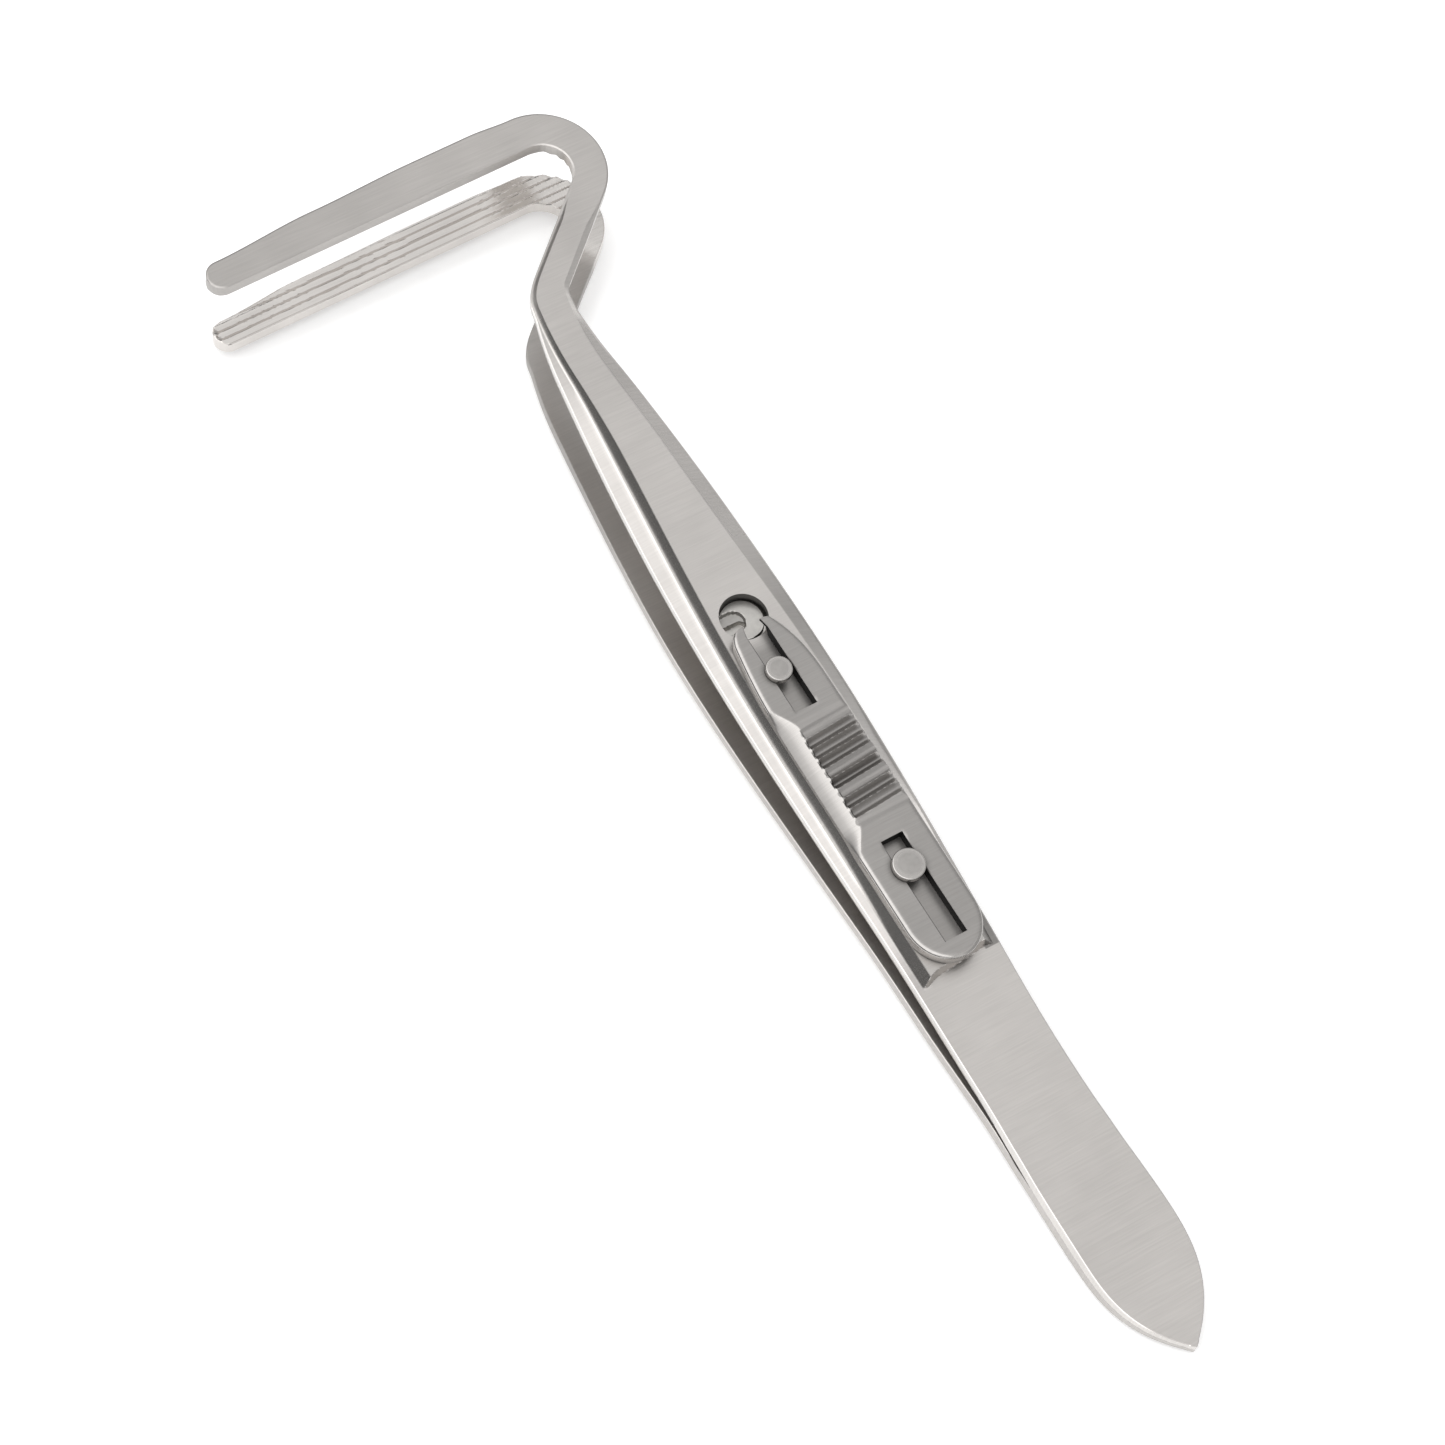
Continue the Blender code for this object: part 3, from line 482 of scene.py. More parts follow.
def make_piece(name, points, faces, materials, polish_and_painted_light, painted_shade_faces=None, sharp=30):
    """A mesh object from points in millimetres in the world and lists of corner numbers. Faces marked for painted
    shade take the second material, a dark one, and edges sharper than the given angle stay crisp."""
    mesh = bpy.data.meshes.new(name)
    mesh.from_pydata((np.asarray(points) * MM).tolist(), [], [list(face) for face in faces])
    for material in materials:
        mesh.materials.append(material)
    if painted_shade_faces is not None:
        mesh.polygons.foreach_set("material_index", np.asarray(painted_shade_faces, dtype=np.int32))
    attribute = mesh.attributes.new("polish_and_painted_light", "FLOAT", "POINT")
    attribute.data.foreach_set("value", np.asarray(polish_and_painted_light, dtype=np.float32))
    mesh.update()
    mesh.validate()
    mesh.shade_smooth()
    mesh.set_sharp_from_angle(angle=radians(sharp))
    piece = bpy.data.objects.new(name, mesh)
    bpy.context.scene.collection.objects.link(piece)
    return piece


# The polish attribute's range and the colour factor it gives: below 0 only painted shade, above 1 only painted
# light, and between them polish with a painted sheen of up to a quarter more.
DARKEST, BRIGHTEST = -4.0, 2.0
DARKEST_SHADE, BRIGHTEST_SHADE = 0.04, 1.48
CLOUD_SCALE = 180.0
CLOUD_CONTRAST = 0.04
# Painted shade in crevices: how far the ambient occlusion looks, and the occlusion values between full painted
# shade and none.
CREVICE_REACH = 0.6 * MM
CREVICE_FROM, CREVICE_TO = 0.35, 0.92
NOISE_LOW, NOISE_HIGH = 0.3, 0.7


def steel(name, colour, satin, polished, streaks, contrast, crevice_shade):
    """Steel with fine brush lines: its colour times stretched noise, times a faint cloud, times a painted shade in
    crevices from ambient occlusion, times a painted brightness from a point attribute, darker below 0 and lighter
    above, which also takes the roughness from satin to polished."""
    material = bpy.data.materials.new(name)
    material.use_nodes = True
    nodes, link = material.node_tree.nodes, material.node_tree.links.new
    shader = nodes["Principled BSDF"]
    shader.inputs["Metallic"].default_value = 1.0

    def noise(vector, scale, detail):
        """Noise at places times a scale."""
        node = nodes.new("ShaderNodeTexNoise")
        node.inputs["Scale"].default_value = scale
        node.inputs["Detail"].default_value = detail
        link(vector, node.inputs["Vector"])
        return node.outputs["Fac"]

    def ranged(value, start, end, low, high):
        """A value carried evenly from start and end to low and high, and held there."""
        node = nodes.new("ShaderNodeMapRange")
        for socket, number in (("From Min", start), ("From Max", end), ("To Min", low), ("To Max", high)):
            node.inputs[socket].default_value = number
        link(value, node.inputs["Value"])
        return node.outputs["Result"]

    def product(first, second):
        """The first value times the second."""
        node = nodes.new("ShaderNodeMath")
        node.operation = "MULTIPLY"
        link(first, node.inputs[0])
        link(second, node.inputs[1])
        return node.outputs["Value"]

    place = nodes.new("ShaderNodeTexCoord").outputs["Object"]
    stretch = nodes.new("ShaderNodeMapping")
    stretch.inputs["Scale"].default_value = streaks
    link(place, stretch.inputs["Vector"])
    crevice = nodes.new("ShaderNodeAmbientOcclusion")
    crevice.samples = 8
    crevice.inputs["Distance"].default_value = CREVICE_REACH
    finish_and_painted_light = nodes.new("ShaderNodeAttribute")
    finish_and_painted_light.attribute_name = "polish_and_painted_light"
    brushed = ranged(noise(stretch.outputs["Vector"], 1.0, 3.0), NOISE_LOW, NOISE_HIGH, 1 - contrast, 1 + contrast)
    cloud = ranged(noise(place, CLOUD_SCALE, 2.0), NOISE_LOW, NOISE_HIGH, 1 - CLOUD_CONTRAST, 1 + CLOUD_CONTRAST)
    # Painted shade: ambient occlusion darkens the colour in crevices, grooves and corners.
    painted_crevice_shade = ranged(crevice.outputs["AO"], CREVICE_FROM, CREVICE_TO, crevice_shade, 1.0)
    # Painted light and shade: the polish attribute scales the colour.
    painted_light_and_shade = ranged(finish_and_painted_light.outputs["Fac"], DARKEST, BRIGHTEST, DARKEST_SHADE, BRIGHTEST_SHADE)
    tint = nodes.new("ShaderNodeVectorMath")
    tint.operation = "SCALE"
    tint.inputs[0].default_value = colour
    link(product(product(product(brushed, cloud), painted_crevice_shade), painted_light_and_shade), tint.inputs["Scale"])
    link(tint.outputs["Vector"], shader.inputs["Base Color"])
    link(ranged(finish_and_painted_light.outputs["Fac"], 0.0, 1.0, satin, polished), shader.inputs["Roughness"])
    return material


HOLE_MARGIN = 3
HOLE_RING_SHARES = (0.4, 0.8, 1.0)


def holed_faces(plan, heights, outer, inner):
    """Both faces of a strip with a round hole. Round the hole a block of each face gives way to rings that pass in
    shares from the block's border to the circle. Gives the rings' points, the faces, and the hole's wall."""
    rows, columns = outer.shape
    along = plan.run[:, 0]
    first = int(np.argmin(np.abs(along - HOLE_AT + SKIRT)))
    last = int(np.argmin(np.abs(along - HOLE_AT - SKIRT)))
    left = EDGE_COLUMNS + LEDGE_COLUMNS + FACET_COLUMNS + HOLE_MARGIN
    right = columns - 1 - left
    keep = np.ones((rows - 1, columns - 1), bool)
    keep[first:last, left:right] = False
    faces = [grid_faces(outer)[keep.ravel()], grid_faces(inner, flip=True)[keep.ravel()]]
    block = (slice(first, last + 1), slice(left, right + 1))
    border = rim_of(outer[block])
    count = 2 * rows * columns
    points = []
    rims = []
    for numbers, height, flip in ((outer, heights[0], True), (inner, heights[1], False)):
        spot = np.stack([plan.x.ravel()[border], plan.y.ravel()[border], height.ravel()[border]], axis=1)
        angle = np.arctan2(spot[:, 1], spot[:, 0] - HOLE_AT)
        ring_x, ring_y = HOLE_AT + HOLE_RADIUS * np.cos(angle), HOLE_RADIUS * np.sin(angle)
        circle = np.stack([ring_x, ring_y, spot[:, 2]], axis=1)
        rings = [rim_of(numbers[block])]
        for share in HOLE_RING_SHARES:
            points.append(spot + (circle - spot) * share)
            rings.append(np.arange(count, count + len(border)))
            count += len(border)
        faces.append(grid_faces(closed(np.stack(rings)), flip))
        rims.append(rings[-1])
    return np.concatenate(points), np.concatenate(faces), grid_faces(closed(np.stack(rims)), flip=True)


def strip_piece(name, arm_tilt, side, holed):
    """A whole strip: both faces of the plan grid, on request with a round hole, and the walls between them."""
    plan = strip_plan(side)
    outer_z = outer_height(plan)
    inner_z = inner_height(plan, outer_z)
    rows, columns = outer_z.shape
    rim = np.zeros((rows, columns))
    rim[[0, -1]] = 1
    rim[:, [0, -1]] = 1
    inside = inner_finish_and_painted_light(plan, side, rim)
    outside = outer_finish_and_painted_light(plan)
    if side < 0:
        outside = np.where(rim > 0, inside, outside)
    outer = np.arange(rows * columns).reshape(rows, columns)
    inner = outer + rows * columns
    points = [np.stack([plan.x, plan.y, height], axis=-1).reshape(-1, 3) for height in (outer_z, inner_z)]
    polish_and_painted_light = [outside.ravel(), inside.ravel()]
    if holed:
        ring_points, skin, hole_wall = holed_faces(plan, (outer_z, inner_z), outer, inner)
        points.append(ring_points)
        polish_and_painted_light.append(np.zeros(len(ring_points)))
    else:
        skin = np.concatenate([grid_faces(outer), grid_faces(inner, flip=True)])
        hole_wall = skin[:0]
    walls = grid_faces(closed(np.stack([rim_of(inner), rim_of(outer)])))
    faces = np.concatenate([skin, hole_wall, walls])
    # The hole's wall takes the near black second material: painted shade inside the hole.
    painted_shade_faces = np.repeat([0, 1, 0], [len(skin), len(hole_wall), len(walls)])
    world_points = to_world(np.concatenate(points), arm_tilt, side)
    return make_piece(name, world_points, faces if side > 0 else faces[:, ::-1], [ARM_STEEL, HOLE_SHADE_STEEL],
                      np.concatenate(polish_and_painted_light), painted_shade_faces, sharp=20)


BRUSH_LINES = (9000, 260, 260)
CUT_GRAIN = (900, 900, 900)
ARM_STEEL = steel("arm_steel", (0.53, 0.508, 0.488), 0.36, 0.16, BRUSH_LINES, 0.045, 0.88)
# Near black steel for the hole's wall: painted shade.
HOLE_SHADE_STEEL = steel("hole_shade_steel", (0.10, 0.097, 0.094), 0.5, 0.5, CUT_GRAIN, 0.05, 1.0)
upper_strip = strip_piece("upper_strip", UPPER_TILT, 1, True)
lower_strip = strip_piece("lower_strip", LOWER_TILT, -1, False)
for strip, body, nodes in ((upper_strip, "upper", ("upper_arm", "upper_tail_leaf")),
                           (lower_strip, "lower", ("lower_arm", "lower_tail_leaf"))):
    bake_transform(strip)
    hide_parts(*nodes)

# Slide plate
# The catch is a milled steel plate that slides on the upper rib: a slotted rear pad, a ridged finger grip notched
# on its left side, and a slotted front pad whose open end forks round the latch post. Satin, with bright edges.
SEAT = STRIP_THICKNESS + RIB_HEIGHT
PLATE_BASE = SEAT + 0.05
PLATE_TOP = PLATE_BASE + 1.05
PLATE_REAR = 13.97
PLATE_FRONT = 43.1
PLATE_SKEW = radians(1.0)
SKEW_AT = 41.5
PLATE_EDGE = 0.40
PLATE_EDGE_FALL = 0.22
PLATE_EDGE_SHARE = 0.4
EDGE_POLISH_SPAN = (0.005, 0.03)
REAR_PAD_HALF_WIDTH = 2.85
FRONT_PAD_HALF_WIDTH = 2.72
PAD_SPAN = (26, 36)
REAR_END = 3.4
REAR_START = 0.02
REAR_RIM = 3.0
SLOT_REAR = 15.5
SLOT_FRONT = 24.1
SLOT_HALF_WIDTH = 0.91
SLOT_SHARE = 0.5
SLOT_LEAN = 0.0075
SLOT_MIDDLE = 29.0
SLOT_BORDER = 0.06
SLOT_LIP = 0.05
FORK_AT = 35.5
PRONG_AT = 40.0
PRONG_HALF_WIDTH = 1.45
PRONG_PULL = 0.15
PRONG_THICKNESS = 0.35
PRONG_RELIEF_SPAN = (42.0, 42.45)
RIGHT_TAPER_AT = 36.2
RIGHT_TAPER_POWER = 2.7
LEFT_TAPER_AT = 36.5
LEFT_TAPER_LENGTH = 6.0
LEFT_TAPER = 0.62
LEFT_TAPER_POWER = 1.5
BLUNT_AT = 42.0
BLUNT_MOST = 0.98
BLUNT_FALL = 0.62
GRIP_AT = 25.8
FIRST_RIDGE = 26.56
GRIP_PITCH = 0.862
GROOVE_DEPTHS = (0.36, 0.46, 0.22, 0.54, 0.27, 0.45, 0.41, 0.41, 0.17)
LAST_RIDGE = FIRST_RIDGE + GRIP_PITCH * len(GROOVE_DEPTHS)
LEAD_GROOVE_DEPTH = 0.10
GRIP_LEAN = 0.07
GRIP_LEFT = 1.34
GRIP_SLOPE = 1.41
GRIP_FALL = 0.60
GRIP_FALL_POWER = 1.3
GRIP_POLISH = 0.45
GRIP_POLISH_TAIL = 0.5
NOTCH_SPAN = (23.8, 26.3, LAST_RIDGE - 0.1, LAST_RIDGE + 2.2)
GROOVE_END_SPAN = (0.02, 0.16)
# Painted light at the top of the slope beside the grip, falling to painted shade at its foot.
SLOPE_TOP_PAINTED_LIGHT = 1.7
SLOPE_PAINTED_LIGHT_FALL = 2.57
EDGE_STRIPS = 10
BAND_STRIPS = 8
SLOT_STRIPS = 8


def on_slide(points):
    """Slide frame to the upper arm's frame: the plate lies a little askew on the rib."""
    x, y = points[..., 0] - SKEW_AT, points[..., 1]
    return np.stack([SKEW_AT + x * cos(PLATE_SKEW) - y * sin(PLATE_SKEW),
                     x * sin(PLATE_SKEW) + y * cos(PLATE_SKEW), points[..., 2]], axis=-1)


def plate_rows():
    """Places of the plate's rows: close together round the rear end, as a cosine, and along the grip."""
    rear = PLATE_REAR + REAR_END * (1 - np.cos(np.linspace(REAR_START, pi / 2, 16, endpoint=False)))
    return np.concatenate([rear[rear < SLOT_REAR], [SLOT_REAR], rear[rear > SLOT_REAR],
                           spread((PLATE_REAR + REAR_END, SLOT_FRONT, 14), (SLOT_FRONT, GRIP_AT, 8),
                                  (GRIP_AT, FIRST_RIDGE, 12), (FIRST_RIDGE, LAST_RIDGE, 180),
                                  (LAST_RIDGE, FORK_AT, 8), (FORK_AT, PRONG_AT, 18), (PRONG_AT, PLATE_FRONT, 16))])


def plate_plan(x):
    """Plan of the plate at rows of places. Columns run across from the left edge: the edge, a band, the slot's
    width, a band and the edge. Both sides are the pad's width times a quarter round at the rear end, less powers
    of the share towards the fork's tips. The left prong ends blunt, and beside the grip the left edge is a wide
    slope."""
    back = np.clip(1 - (x - PLATE_REAR) / REAR_END, 0, 1)
    notch = band(x, *NOTCH_SPAN)
    pad = REAR_PAD_HALF_WIDTH + (FRONT_PAD_HALF_WIDTH - REAR_PAD_HALF_WIDTH) * ease(x, *PAD_SPAN)
    right_taper = np.clip((x - RIGHT_TAPER_AT) / (PLATE_FRONT - RIGHT_TAPER_AT), 0, 1) ** RIGHT_TAPER_POWER
    right = pad * np.sqrt(1 - back ** 2) - (FRONT_PAD_HALF_WIDTH - PRONG_HALF_WIDTH) * right_taper
    left_taper = np.clip((x - LEFT_TAPER_AT) / LEFT_TAPER_LENGTH, 0, 1) ** LEFT_TAPER_POWER
    blunt = np.clip((x - BLUNT_AT) / (PLATE_FRONT - BLUNT_AT), 0, BLUNT_MOST)
    left = pad * np.sqrt(1 - back ** 2) - LEFT_TAPER * left_taper - BLUNT_FALL * quarter_round(blunt)
    left = left + (GRIP_LEFT + GRIP_SLOPE - pad) * notch
    right_edge = np.minimum(PLATE_EDGE, PLATE_EDGE_SHARE * right)
    left_edge = right_edge + (GRIP_SLOPE - PLATE_EDGE) * notch
    slot = np.minimum(SLOT_HALF_WIDTH, SLOT_SHARE * right)
    middle = SLOT_LEAN * (x - SLOT_MIDDLE) * ease(x, PLATE_REAR, SLOT_REAR)
    near = np.linspace(0, 1, EDGE_STRIPS, endpoint=False)[None]
    far = np.linspace(0, 1, BAND_STRIPS + 1)[None]
    left_width = left - left_edge - slot - middle - SLOT_BORDER
    right_width = right - right_edge - slot + middle - SLOT_BORDER
    left_band = np.concatenate([left - left_edge * near, left - left_edge - left_width * far], axis=1)
    right_band = np.concatenate([-right + right_edge * near, -right + right_edge + right_width * far], axis=1)
    across = np.concatenate([left_band, middle + slot * np.linspace(1, -1, SLOT_STRIPS + 1)[None],
                             right_band[:, ::-1]], axis=1)
    return SimpleNamespace(x=x, across=across, back=back, notch=notch, pad=pad, left=left, right=right,
                           left_edge=left_edge, slot=slot, middle=middle)


def plate_surface(plan):
    """Top heights of the plate and its polish with painted light and shade. The top is flat, less the largest of a
    quarter round at the outline, the slope beside the grip as a power of the share, and the grip's grooves, each a
    sine that is never negative, so that the ridges come to an edge. The slope is painted light at its top, fading
    to painted shade at its foot."""
    x, across, notch = plan.x, plan.across, plan.notch
    left_share = 1 - (plan.left - across) / plan.left_edge
    left_lean = np.clip(left_share, 0, 1)
    left_fall = ((1 - notch) * PLATE_EDGE_FALL * quarter_round(left_lean)
                 + notch * GRIP_FALL * left_lean ** GRIP_FALL_POWER)
    from_rear = REAR_RIM * (1 - np.hypot(plan.back, across / plan.pad))
    from_rim = np.minimum(plan.right + across, np.where(plan.back > 0, from_rear, np.inf))
    rim_lean = np.clip(1 - from_rim / PLATE_EDGE, 0, 1)
    bevel = np.maximum(left_fall, PLATE_EDGE_FALL * quarter_round(rim_lean))
    turn = (x + GRIP_LEAN * across - FIRST_RIDGE) / GRIP_PITCH
    number = np.clip(np.floor(turn), 0, len(GROOVE_DEPTHS) - 1).astype(int)
    ridged = (turn >= 0) & (turn <= len(GROOVE_DEPTHS))
    groove = np.array(GROOVE_DEPTHS)[number] * np.abs(np.sin(pi * turn)) * ridged
    groove = groove * (1 - notch * ease(left_share, *GROOVE_END_SPAN))
    lead = LEAD_GROOVE_DEPTH * np.sin(pi * np.clip((x - GRIP_AT) / (FIRST_RIDGE - GRIP_AT), 0, 1))
    slotted = (x > SLOT_REAR) & (x < SLOT_FRONT) | (x > FORK_AT)
    lip = SLOT_LIP * slotted * (np.abs(np.abs(across - plan.middle) - plan.slot) < 1e-6)
    top = PLATE_TOP - np.maximum(np.maximum(groove, lead), bevel) - lip
    gripped = (x > GRIP_AT) & (x < LAST_RIDGE + GRIP_POLISH_TAIL)
    polish_and_painted_light = np.maximum(GRIP_POLISH * gripped, (1 - notch) * ease(bevel, *EDGE_POLISH_SPAN))
    # Painted light at the slope's top, fading to painted shade at its foot.
    slope_painted_light = np.clip(SLOPE_TOP_PAINTED_LIGHT - SLOPE_PAINTED_LIGHT_FALL * left_lean, -1, 2)
    return top, np.where(notch * left_lean > SEAM, slope_painted_light, polish_and_painted_light)


def plate_piece():
    """The slide plate: top and base over one plan grid, without the slots' columns along the slots, and walls all
    round. The prongs are drawn back as a square of the distance from the slot, and their tips are relieved below.
    The walls of the slots and the fork take a near black material: painted shade."""
    places = plate_rows()
    plan = plate_plan(places[:, None])
    top, polish_and_painted_light = plate_surface(plan)
    prong = np.clip((np.abs(plan.across - plan.middle) - plan.slot) / (plan.right - plan.slot), 0, 1)
    along = plan.x - PRONG_PULL * prong ** 2 * np.clip((plan.x - PRONG_AT) / (PLATE_FRONT - PRONG_AT), 0, 1)
    base = PLATE_BASE + (PLATE_TOP - PLATE_BASE - PRONG_THICKNESS) * ease(along, *PRONG_RELIEF_SPAN)
    points = np.concatenate([np.stack([along, plan.across, z], axis=-1).reshape(-1, 3) for z in (top, base)])
    rows, columns = top.shape
    above = np.arange(rows * columns).reshape(rows, columns)
    below = above + rows * columns
    first = EDGE_STRIPS + BAND_STRIPS + 1
    last = first + SLOT_STRIPS
    ends = (SLOT_REAR, SLOT_FRONT, FORK_AT)
    slot_rear, slot_front, fork = [int(np.argmin(np.abs(places - end))) for end in ends]
    keep = np.ones((rows - 1, columns - 1), bool)
    keep[slot_rear:slot_front, first:last] = False
    keep[fork:, first:last] = False
    fork_edge = np.concatenate([above[fork:, first][::-1], above[fork, first + 1:last], above[fork:, last]])[::-1]
    outline = np.concatenate([above[-1, :first + 1][::-1], above[::-1, 0][1:], above[0, 1:], above[1:, -1],
                              above[-1, last:-1][::-1]])
    slot_edge = rim_of(above[slot_rear:slot_front + 1, first:last + 1])
    slot_edge = np.append(slot_edge, slot_edge[0])
    walls = [grid_faces(np.stack([edge, edge + rows * columns])) for edge in (outline, fork_edge, slot_edge)]
    skin = [grid_faces(above)[keep.ravel()], grid_faces(below, flip=True)[keep.ravel()]]
    faces = np.concatenate(skin + walls)
    # Painted shade: the walls of the fork and the slots take the near black material.
    painted_shade_faces = np.zeros(len(faces), int)
    painted_shade_faces[-len(walls[1]) - len(walls[2]):] = 1
    used, renumbered = np.unique(faces, return_inverse=True)
    shine = np.concatenate([polish_and_painted_light.ravel(), np.zeros(polish_and_painted_light.size)])[used]
    spots = to_world(on_slide(points[used]), UPPER_TILT, 1)
    return make_piece("lock_slide", spots, renumbered.reshape(faces.shape), [SLIDE_STEEL, SLOT_SHADE_STEEL], shine, painted_shade_faces)


SLIDE_STEEL = steel("slide_steel", (0.345, 0.332, 0.32), 0.42, 0.16, BRUSH_LINES, 0.06, 0.25)
# Near black and barely reflecting: painted shade on the walls of the slots and the fork.
SLOT_SHADE_STEEL = steel("slot_shade_steel", (0.015, 0.0148, 0.0145), 0.5, 0.5, CUT_GRAIN, 0.05, 1.0)
SLOT_SHADE_STEEL.node_tree.nodes["Principled BSDF"].inputs["Metallic"].default_value = 0.0
SLOT_SHADE_STEEL.node_tree.nodes["Principled BSDF"].inputs["Specular IOR Level"].default_value = 0.03
lock_slide = plate_piece()
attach(lock_slide, "slide")
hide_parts("slide_plate")

# Guide rivets
# Two turned steel rivets hold the slide plate down on the rib: flat satin heads with a bright turned edge, the
# rear one larger. Each shank passes through its slot and is finished flush inside the arm.
RIVET_FOOT = 0.05
RIVET_PLAY = 0.05
RIVET_HEAD_HEIGHT = 0.45
RIVET_EDGE = 0.12
CROWN_SHARE = 0.6
CROWN_HEIGHT = 0.01
CROWN_MIDDLE_HEIGHT = 0.015
AXIS_GAP = 0.02
# Painted shade in the post's notch: the cut depths that take it, and its level.
CARVED_FROM, CARVED_TO = 0.1, 0.6
CARVED_PAINTED_SHADE = -1.0
TURNED_SIDES = 96
TURNED_GRAIN = (3000, 3000, 3000)
PIN_STEEL = steel("pin_steel", (0.38, 0.366, 0.352), 0.38, 0.15, TURNED_GRAIN, 0.05, 0.5)


def turned_piece(name, profile, at, arm_tilt, material, carve=None):
    """A turned piece about the arm's z at a place: rows of radius, height and polish, closed at both ends. A carve
    gives the depth to take off the top at each x, y and height, and what it cuts takes painted shade."""
    turn = np.linspace(0, 2 * pi, TURNED_SIDES, endpoint=False)
    flat = profile[:, None, :1] * np.stack([np.cos(turn), np.sin(turn)], axis=1)[None]
    height = np.repeat(profile[:, 1:2], TURNED_SIDES, axis=1)
    shine = np.repeat(profile[:, 2:3], TURNED_SIDES, axis=1)
    if carve is not None:
        cut = carve(flat[..., 0], flat[..., 1], height)
        height = height - cut
        # Painted shade where the carve cuts into the head.
        shine = np.where((cut > CARVED_FROM) & (cut < CARVED_TO), CARVED_PAINTED_SHADE, shine)
    points = np.concatenate([flat + np.array(at), height[..., None]], axis=-1).reshape(-1, 3)
    index = np.arange(height.size).reshape(height.shape)
    faces = grid_faces(closed(index)).tolist() + [index[0][::-1].tolist(), index[-1].tolist()]
    return make_piece(name, to_world(points, arm_tilt, 1), faces, [material], shine.ravel(), sharp=40)


def round_edge(radius, top, edge, count):
    """Profile rows of a bright quarter round from a radius up to a top."""
    turn = np.linspace(0, pi / 2, count)
    return rows_of(radius - edge + edge * np.cos(turn), top - edge + edge * np.sin(turn), 1.0)


def rivet(name, at, shank, head):
    """A straight shank under a flat, barely crowned head with a small rounded edge."""
    under = PLATE_TOP + RIVET_PLAY
    top = under + RIVET_HEAD_HEIGHT
    profile = np.concatenate([
        [(shank, RIVET_FOOT, 0), (shank, under, 0), (head, under, 0)], round_edge(head, top, RIVET_EDGE, 7),
        [(head * CROWN_SHARE, top + CROWN_HEIGHT, 0), (AXIS_GAP, top + CROWN_MIDDLE_HEIGHT, 0)]])
    piece = turned_piece(name, profile, at, UPPER_TILT, PIN_STEEL)
    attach(piece, "upper")
    return piece


rear_rivet = rivet("rear_rivet", (21.62, -0.22), 0.60, 1.24)
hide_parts("rear_guide_rivet")
front_rivet = rivet("front_rivet", (38.90, 0.33), 0.50, 1.00)
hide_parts("front_guide_rivet")

# Latch post
# A turned steel post riveted into the lower arm: a stout body, a slim neck for the fork, and a round head that
# comes up through the upper arm's hole. Its top is milled from the left with a stepped notch that ends round.
POST_AT = 43.92
POST_FOOT = 0.05 - SEAT
POST_FOOT_RADIUS = 0.85
POST_SHOULDER = 0.05
POST_BODY_RADIUS = 1.05
POST_BODY_TOP = 2.23
POST_NECK_RADIUS = 0.50
POST_HEAD_BASE = 3.52
POST_HEAD_RADIUS = 1.70
POST_HEAD_RING = 4.6
POST_TOP = 5.3
POST_EDGE = 0.08
POST_TOP_RADIUS = 1.59
POST_TOP_ROWS = 40
NOTCH_REACH = 0.3
WIDE_SLOT = (0.13, 0.60, 0.80, 0.90, 0.30)
SLIM_SLOT = (-0.27, 0.27, 0.36, 0.44, 0.45)
POST_STEEL = steel("post_steel", (0.54, 0.525, 0.50), 0.36, 0.15, TURNED_GRAIN, 0.05, 0.8)


def slot_depth(x, y, middle, end, narrow, broad, depth):
    """Depth of a slot from the left edge with a round end: full within the narrow half width, none past the
    broad one, and smooth between them."""
    off = np.where(y > end, np.abs(x - middle), np.hypot(x - middle, y - end))
    return depth * (1 - ease(off, narrow, broad))


def notch_depth(x, y, height):
    """Depth cut from the head's top: a wide shallow slot from the left edge to past the middle, and a narrow
    deeper one inside it."""
    depth = slot_depth(x, y, *WIDE_SLOT) + slot_depth(x, y, *SLIM_SLOT)
    return np.where(height > POST_TOP - NOTCH_REACH, depth, 0.0)


post_profile = np.concatenate([
    [(POST_FOOT_RADIUS, POST_FOOT, 0), (POST_FOOT_RADIUS, POST_SHOULDER, 0),
     (POST_BODY_RADIUS, POST_SHOULDER, 0), (POST_BODY_RADIUS, POST_BODY_TOP, 0),
     (POST_NECK_RADIUS, POST_BODY_TOP, 0), (POST_NECK_RADIUS, POST_HEAD_BASE, 0),
     (POST_HEAD_RADIUS, POST_HEAD_BASE, 0), (POST_HEAD_RADIUS, POST_HEAD_RING, 0)],
    round_edge(POST_HEAD_RADIUS, POST_TOP, POST_EDGE, 6),
    rows_of(np.linspace(POST_TOP_RADIUS, AXIS_GAP, POST_TOP_ROWS), POST_TOP, 0.0)])
post = turned_piece("post", post_profile, (POST_AT, 0.0), LOWER_TILT, POST_STEEL, notch_depth)
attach(post, "lower")
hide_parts("latch_post")

# Floor, light and camera
# A pale sweep in a white room under a large overhead softbox. Dark cards stand low on the left, in front and
# behind the tail, and a grey one on the right, to draw the polished edges.
FLOOR_REACH = 2.0
FLOOR_GLOW = 0.22
ROOM_GLOW = 0.86
CARD_COLUMNS = 49

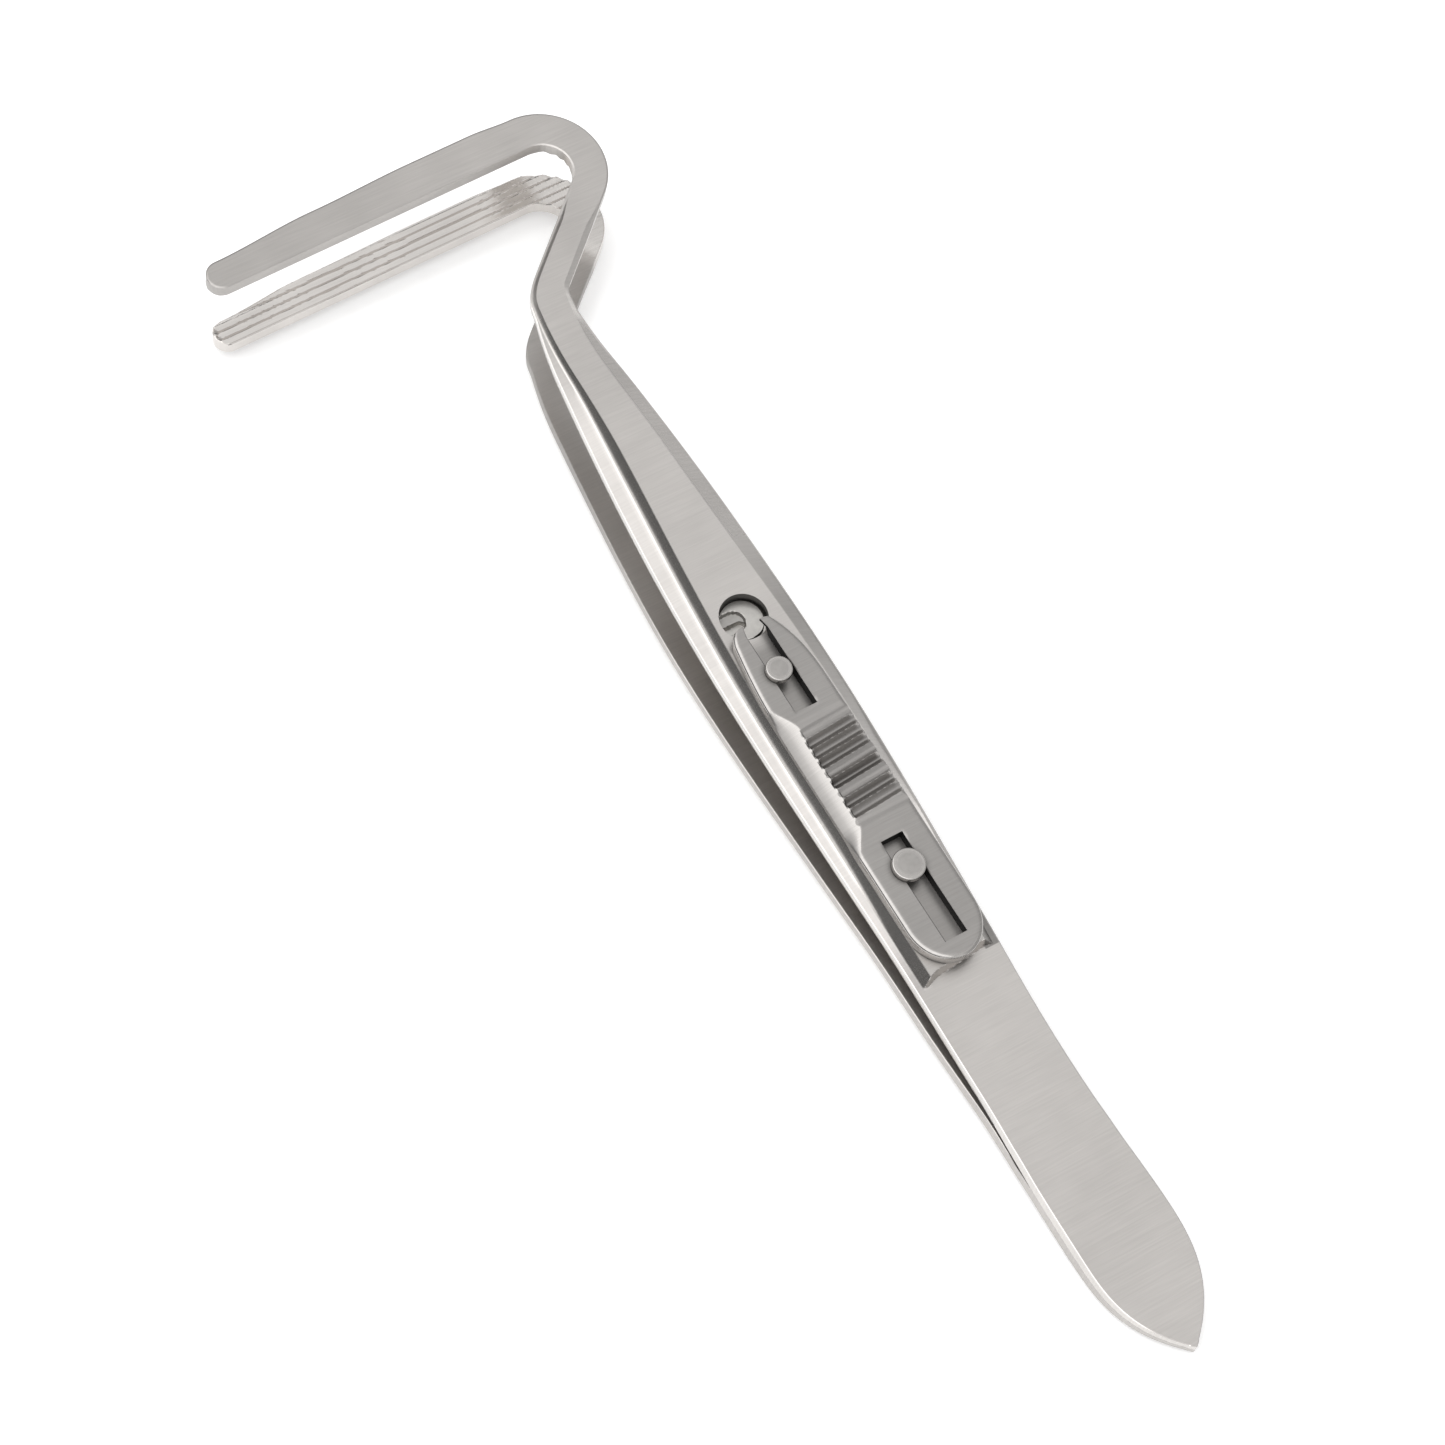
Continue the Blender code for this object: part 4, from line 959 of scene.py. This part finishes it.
floor_mesh = bpy.data.meshes.new("floor")
floor_corners = [(-FLOOR_REACH, -FLOOR_REACH, 0), (FLOOR_REACH, -FLOOR_REACH, 0), (FLOOR_REACH, FLOOR_REACH, 0),
                 (-FLOOR_REACH, FLOOR_REACH, 0)]
floor_mesh.from_pydata(floor_corners, [], [(0, 1, 2, 3)])
floor_paint = bpy.data.materials.new("floor_paint")
floor_paint.use_nodes = True
floor_sockets = floor_paint.node_tree.nodes["Principled BSDF"].inputs
floor_sockets["Base Color"].default_value = (0.95, 0.95, 0.95, 1)
floor_sockets["Roughness"].default_value = 0.9
floor_sockets["Emission Color"].default_value = (1, 1, 1, 1)
floor_sockets["Emission Strength"].default_value = FLOOR_GLOW
floor_mesh.materials.append(floor_paint)
floor = bpy.data.objects.new("floor", floor_mesh)
bpy.context.scene.collection.objects.link(floor)

room = bpy.data.worlds.new("studio")
bpy.context.scene.world = room
room.use_nodes = True
room_nodes, room_link = room.node_tree.nodes, room.node_tree.links.new
rays = room_nodes.new("ShaderNodeLightPath")
seen = rays.outputs["Is Camera Ray"]
for kind in ("Is Glossy Ray", "Is Transmission Ray"):
    either = room_nodes.new("ShaderNodeMath")
    either.operation = "MAXIMUM"
    room_link(seen, either.inputs[0])
    room_link(rays.outputs[kind], either.inputs[1])
    seen = either.outputs["Value"]
room_glow = room_nodes.new("ShaderNodeMapRange")
room_glow.inputs["To Min"].default_value = ROOM_GLOW
room_glow.inputs["To Max"].default_value = 1.0
room_link(seen, room_glow.inputs["Value"])
room_link(room_glow.outputs["Result"], room_nodes["Background"].inputs["Strength"])
room_nodes["Background"].inputs["Color"].default_value = (1, 1, 1, 1)


def studio_card(name, bearings, low, high, glow):
    """A card bent round the object, as a photographer sets one to draw a polished edge: a stretch of a cone
    between two bearings and two circles, each a radius and a height, which only reflections see."""
    bearing = np.radians(np.linspace(bearings[0], bearings[1], CARD_COLUMNS))
    ring = np.stack([np.cos(bearing), np.sin(bearing), 0 * bearing], axis=1)
    points = np.concatenate([ring * radius + (0, 0, height) for radius, height in (low, high)])
    mesh = bpy.data.meshes.new(name)
    faces = grid_faces(np.arange(2 * CARD_COLUMNS).reshape(2, CARD_COLUMNS))
    mesh.from_pydata(points.tolist(), [], faces.tolist())
    paint = bpy.data.materials.new(name)
    paint.use_nodes = True
    sockets = paint.node_tree.nodes["Principled BSDF"].inputs
    sockets["Base Color"].default_value = (0, 0, 0, 1)
    sockets["Emission Color"].default_value = (1, 1, 1, 1)
    sockets["Emission Strength"].default_value = glow
    sockets["Specular IOR Level"].default_value = 0.0
    mesh.materials.append(paint)
    card = bpy.data.objects.new(name, mesh)
    bpy.context.scene.collection.objects.link(card)
    card.visible_camera = False
    card.visible_diffuse = False
    card.visible_shadow = False


studio_card("left_dark_card", (25, 155), (0.06, 0.0005), (0.5, 0.24), 0.15)
studio_card("front_dark_card", (-25, 25), (0.075, 0.0005), (0.5, 0.16), 0.12)
studio_card("tail_dark_card", (155, 205), (0.5, 0.0), (0.5, 0.10), 0.06)
studio_card("right_grey_card", (205, 335), (0.5, 0.0), (0.5, 0.62), 0.62)

softbox = bpy.data.lights.new("softbox", "AREA")
softbox.shape = "RECTANGLE"
softbox.size = 1.0
softbox.size_y = 0.80
softbox.energy = 2.5
softbox_lamp = bpy.data.objects.new("softbox", softbox)
softbox_lamp.location = (0.0, 0.37, 0.6)
bpy.context.scene.collection.objects.link(softbox_lamp)

CAMERA_AT = Vector((-0.106673, 0.088333, 0.257364))
CAMERA_AIM = Vector((0.0029029, -0.0009777, 0.004))
CAMERA_ROLL = radians(9.65)
lens = bpy.data.cameras.new("camera")
lens.lens = 99.65
lens.sensor_width = 36
lens.clip_start = 0.01
camera = bpy.data.objects.new("camera", lens)
camera_turn = (CAMERA_AIM - CAMERA_AT).to_track_quat("-Z", "Y").to_matrix().to_4x4()
camera.matrix_world = Matrix.Translation(CAMERA_AT) @ camera_turn @ Matrix.Rotation(CAMERA_ROLL, 4, "Z")
bpy.context.scene.collection.objects.link(camera)
bpy.context.scene.camera = camera
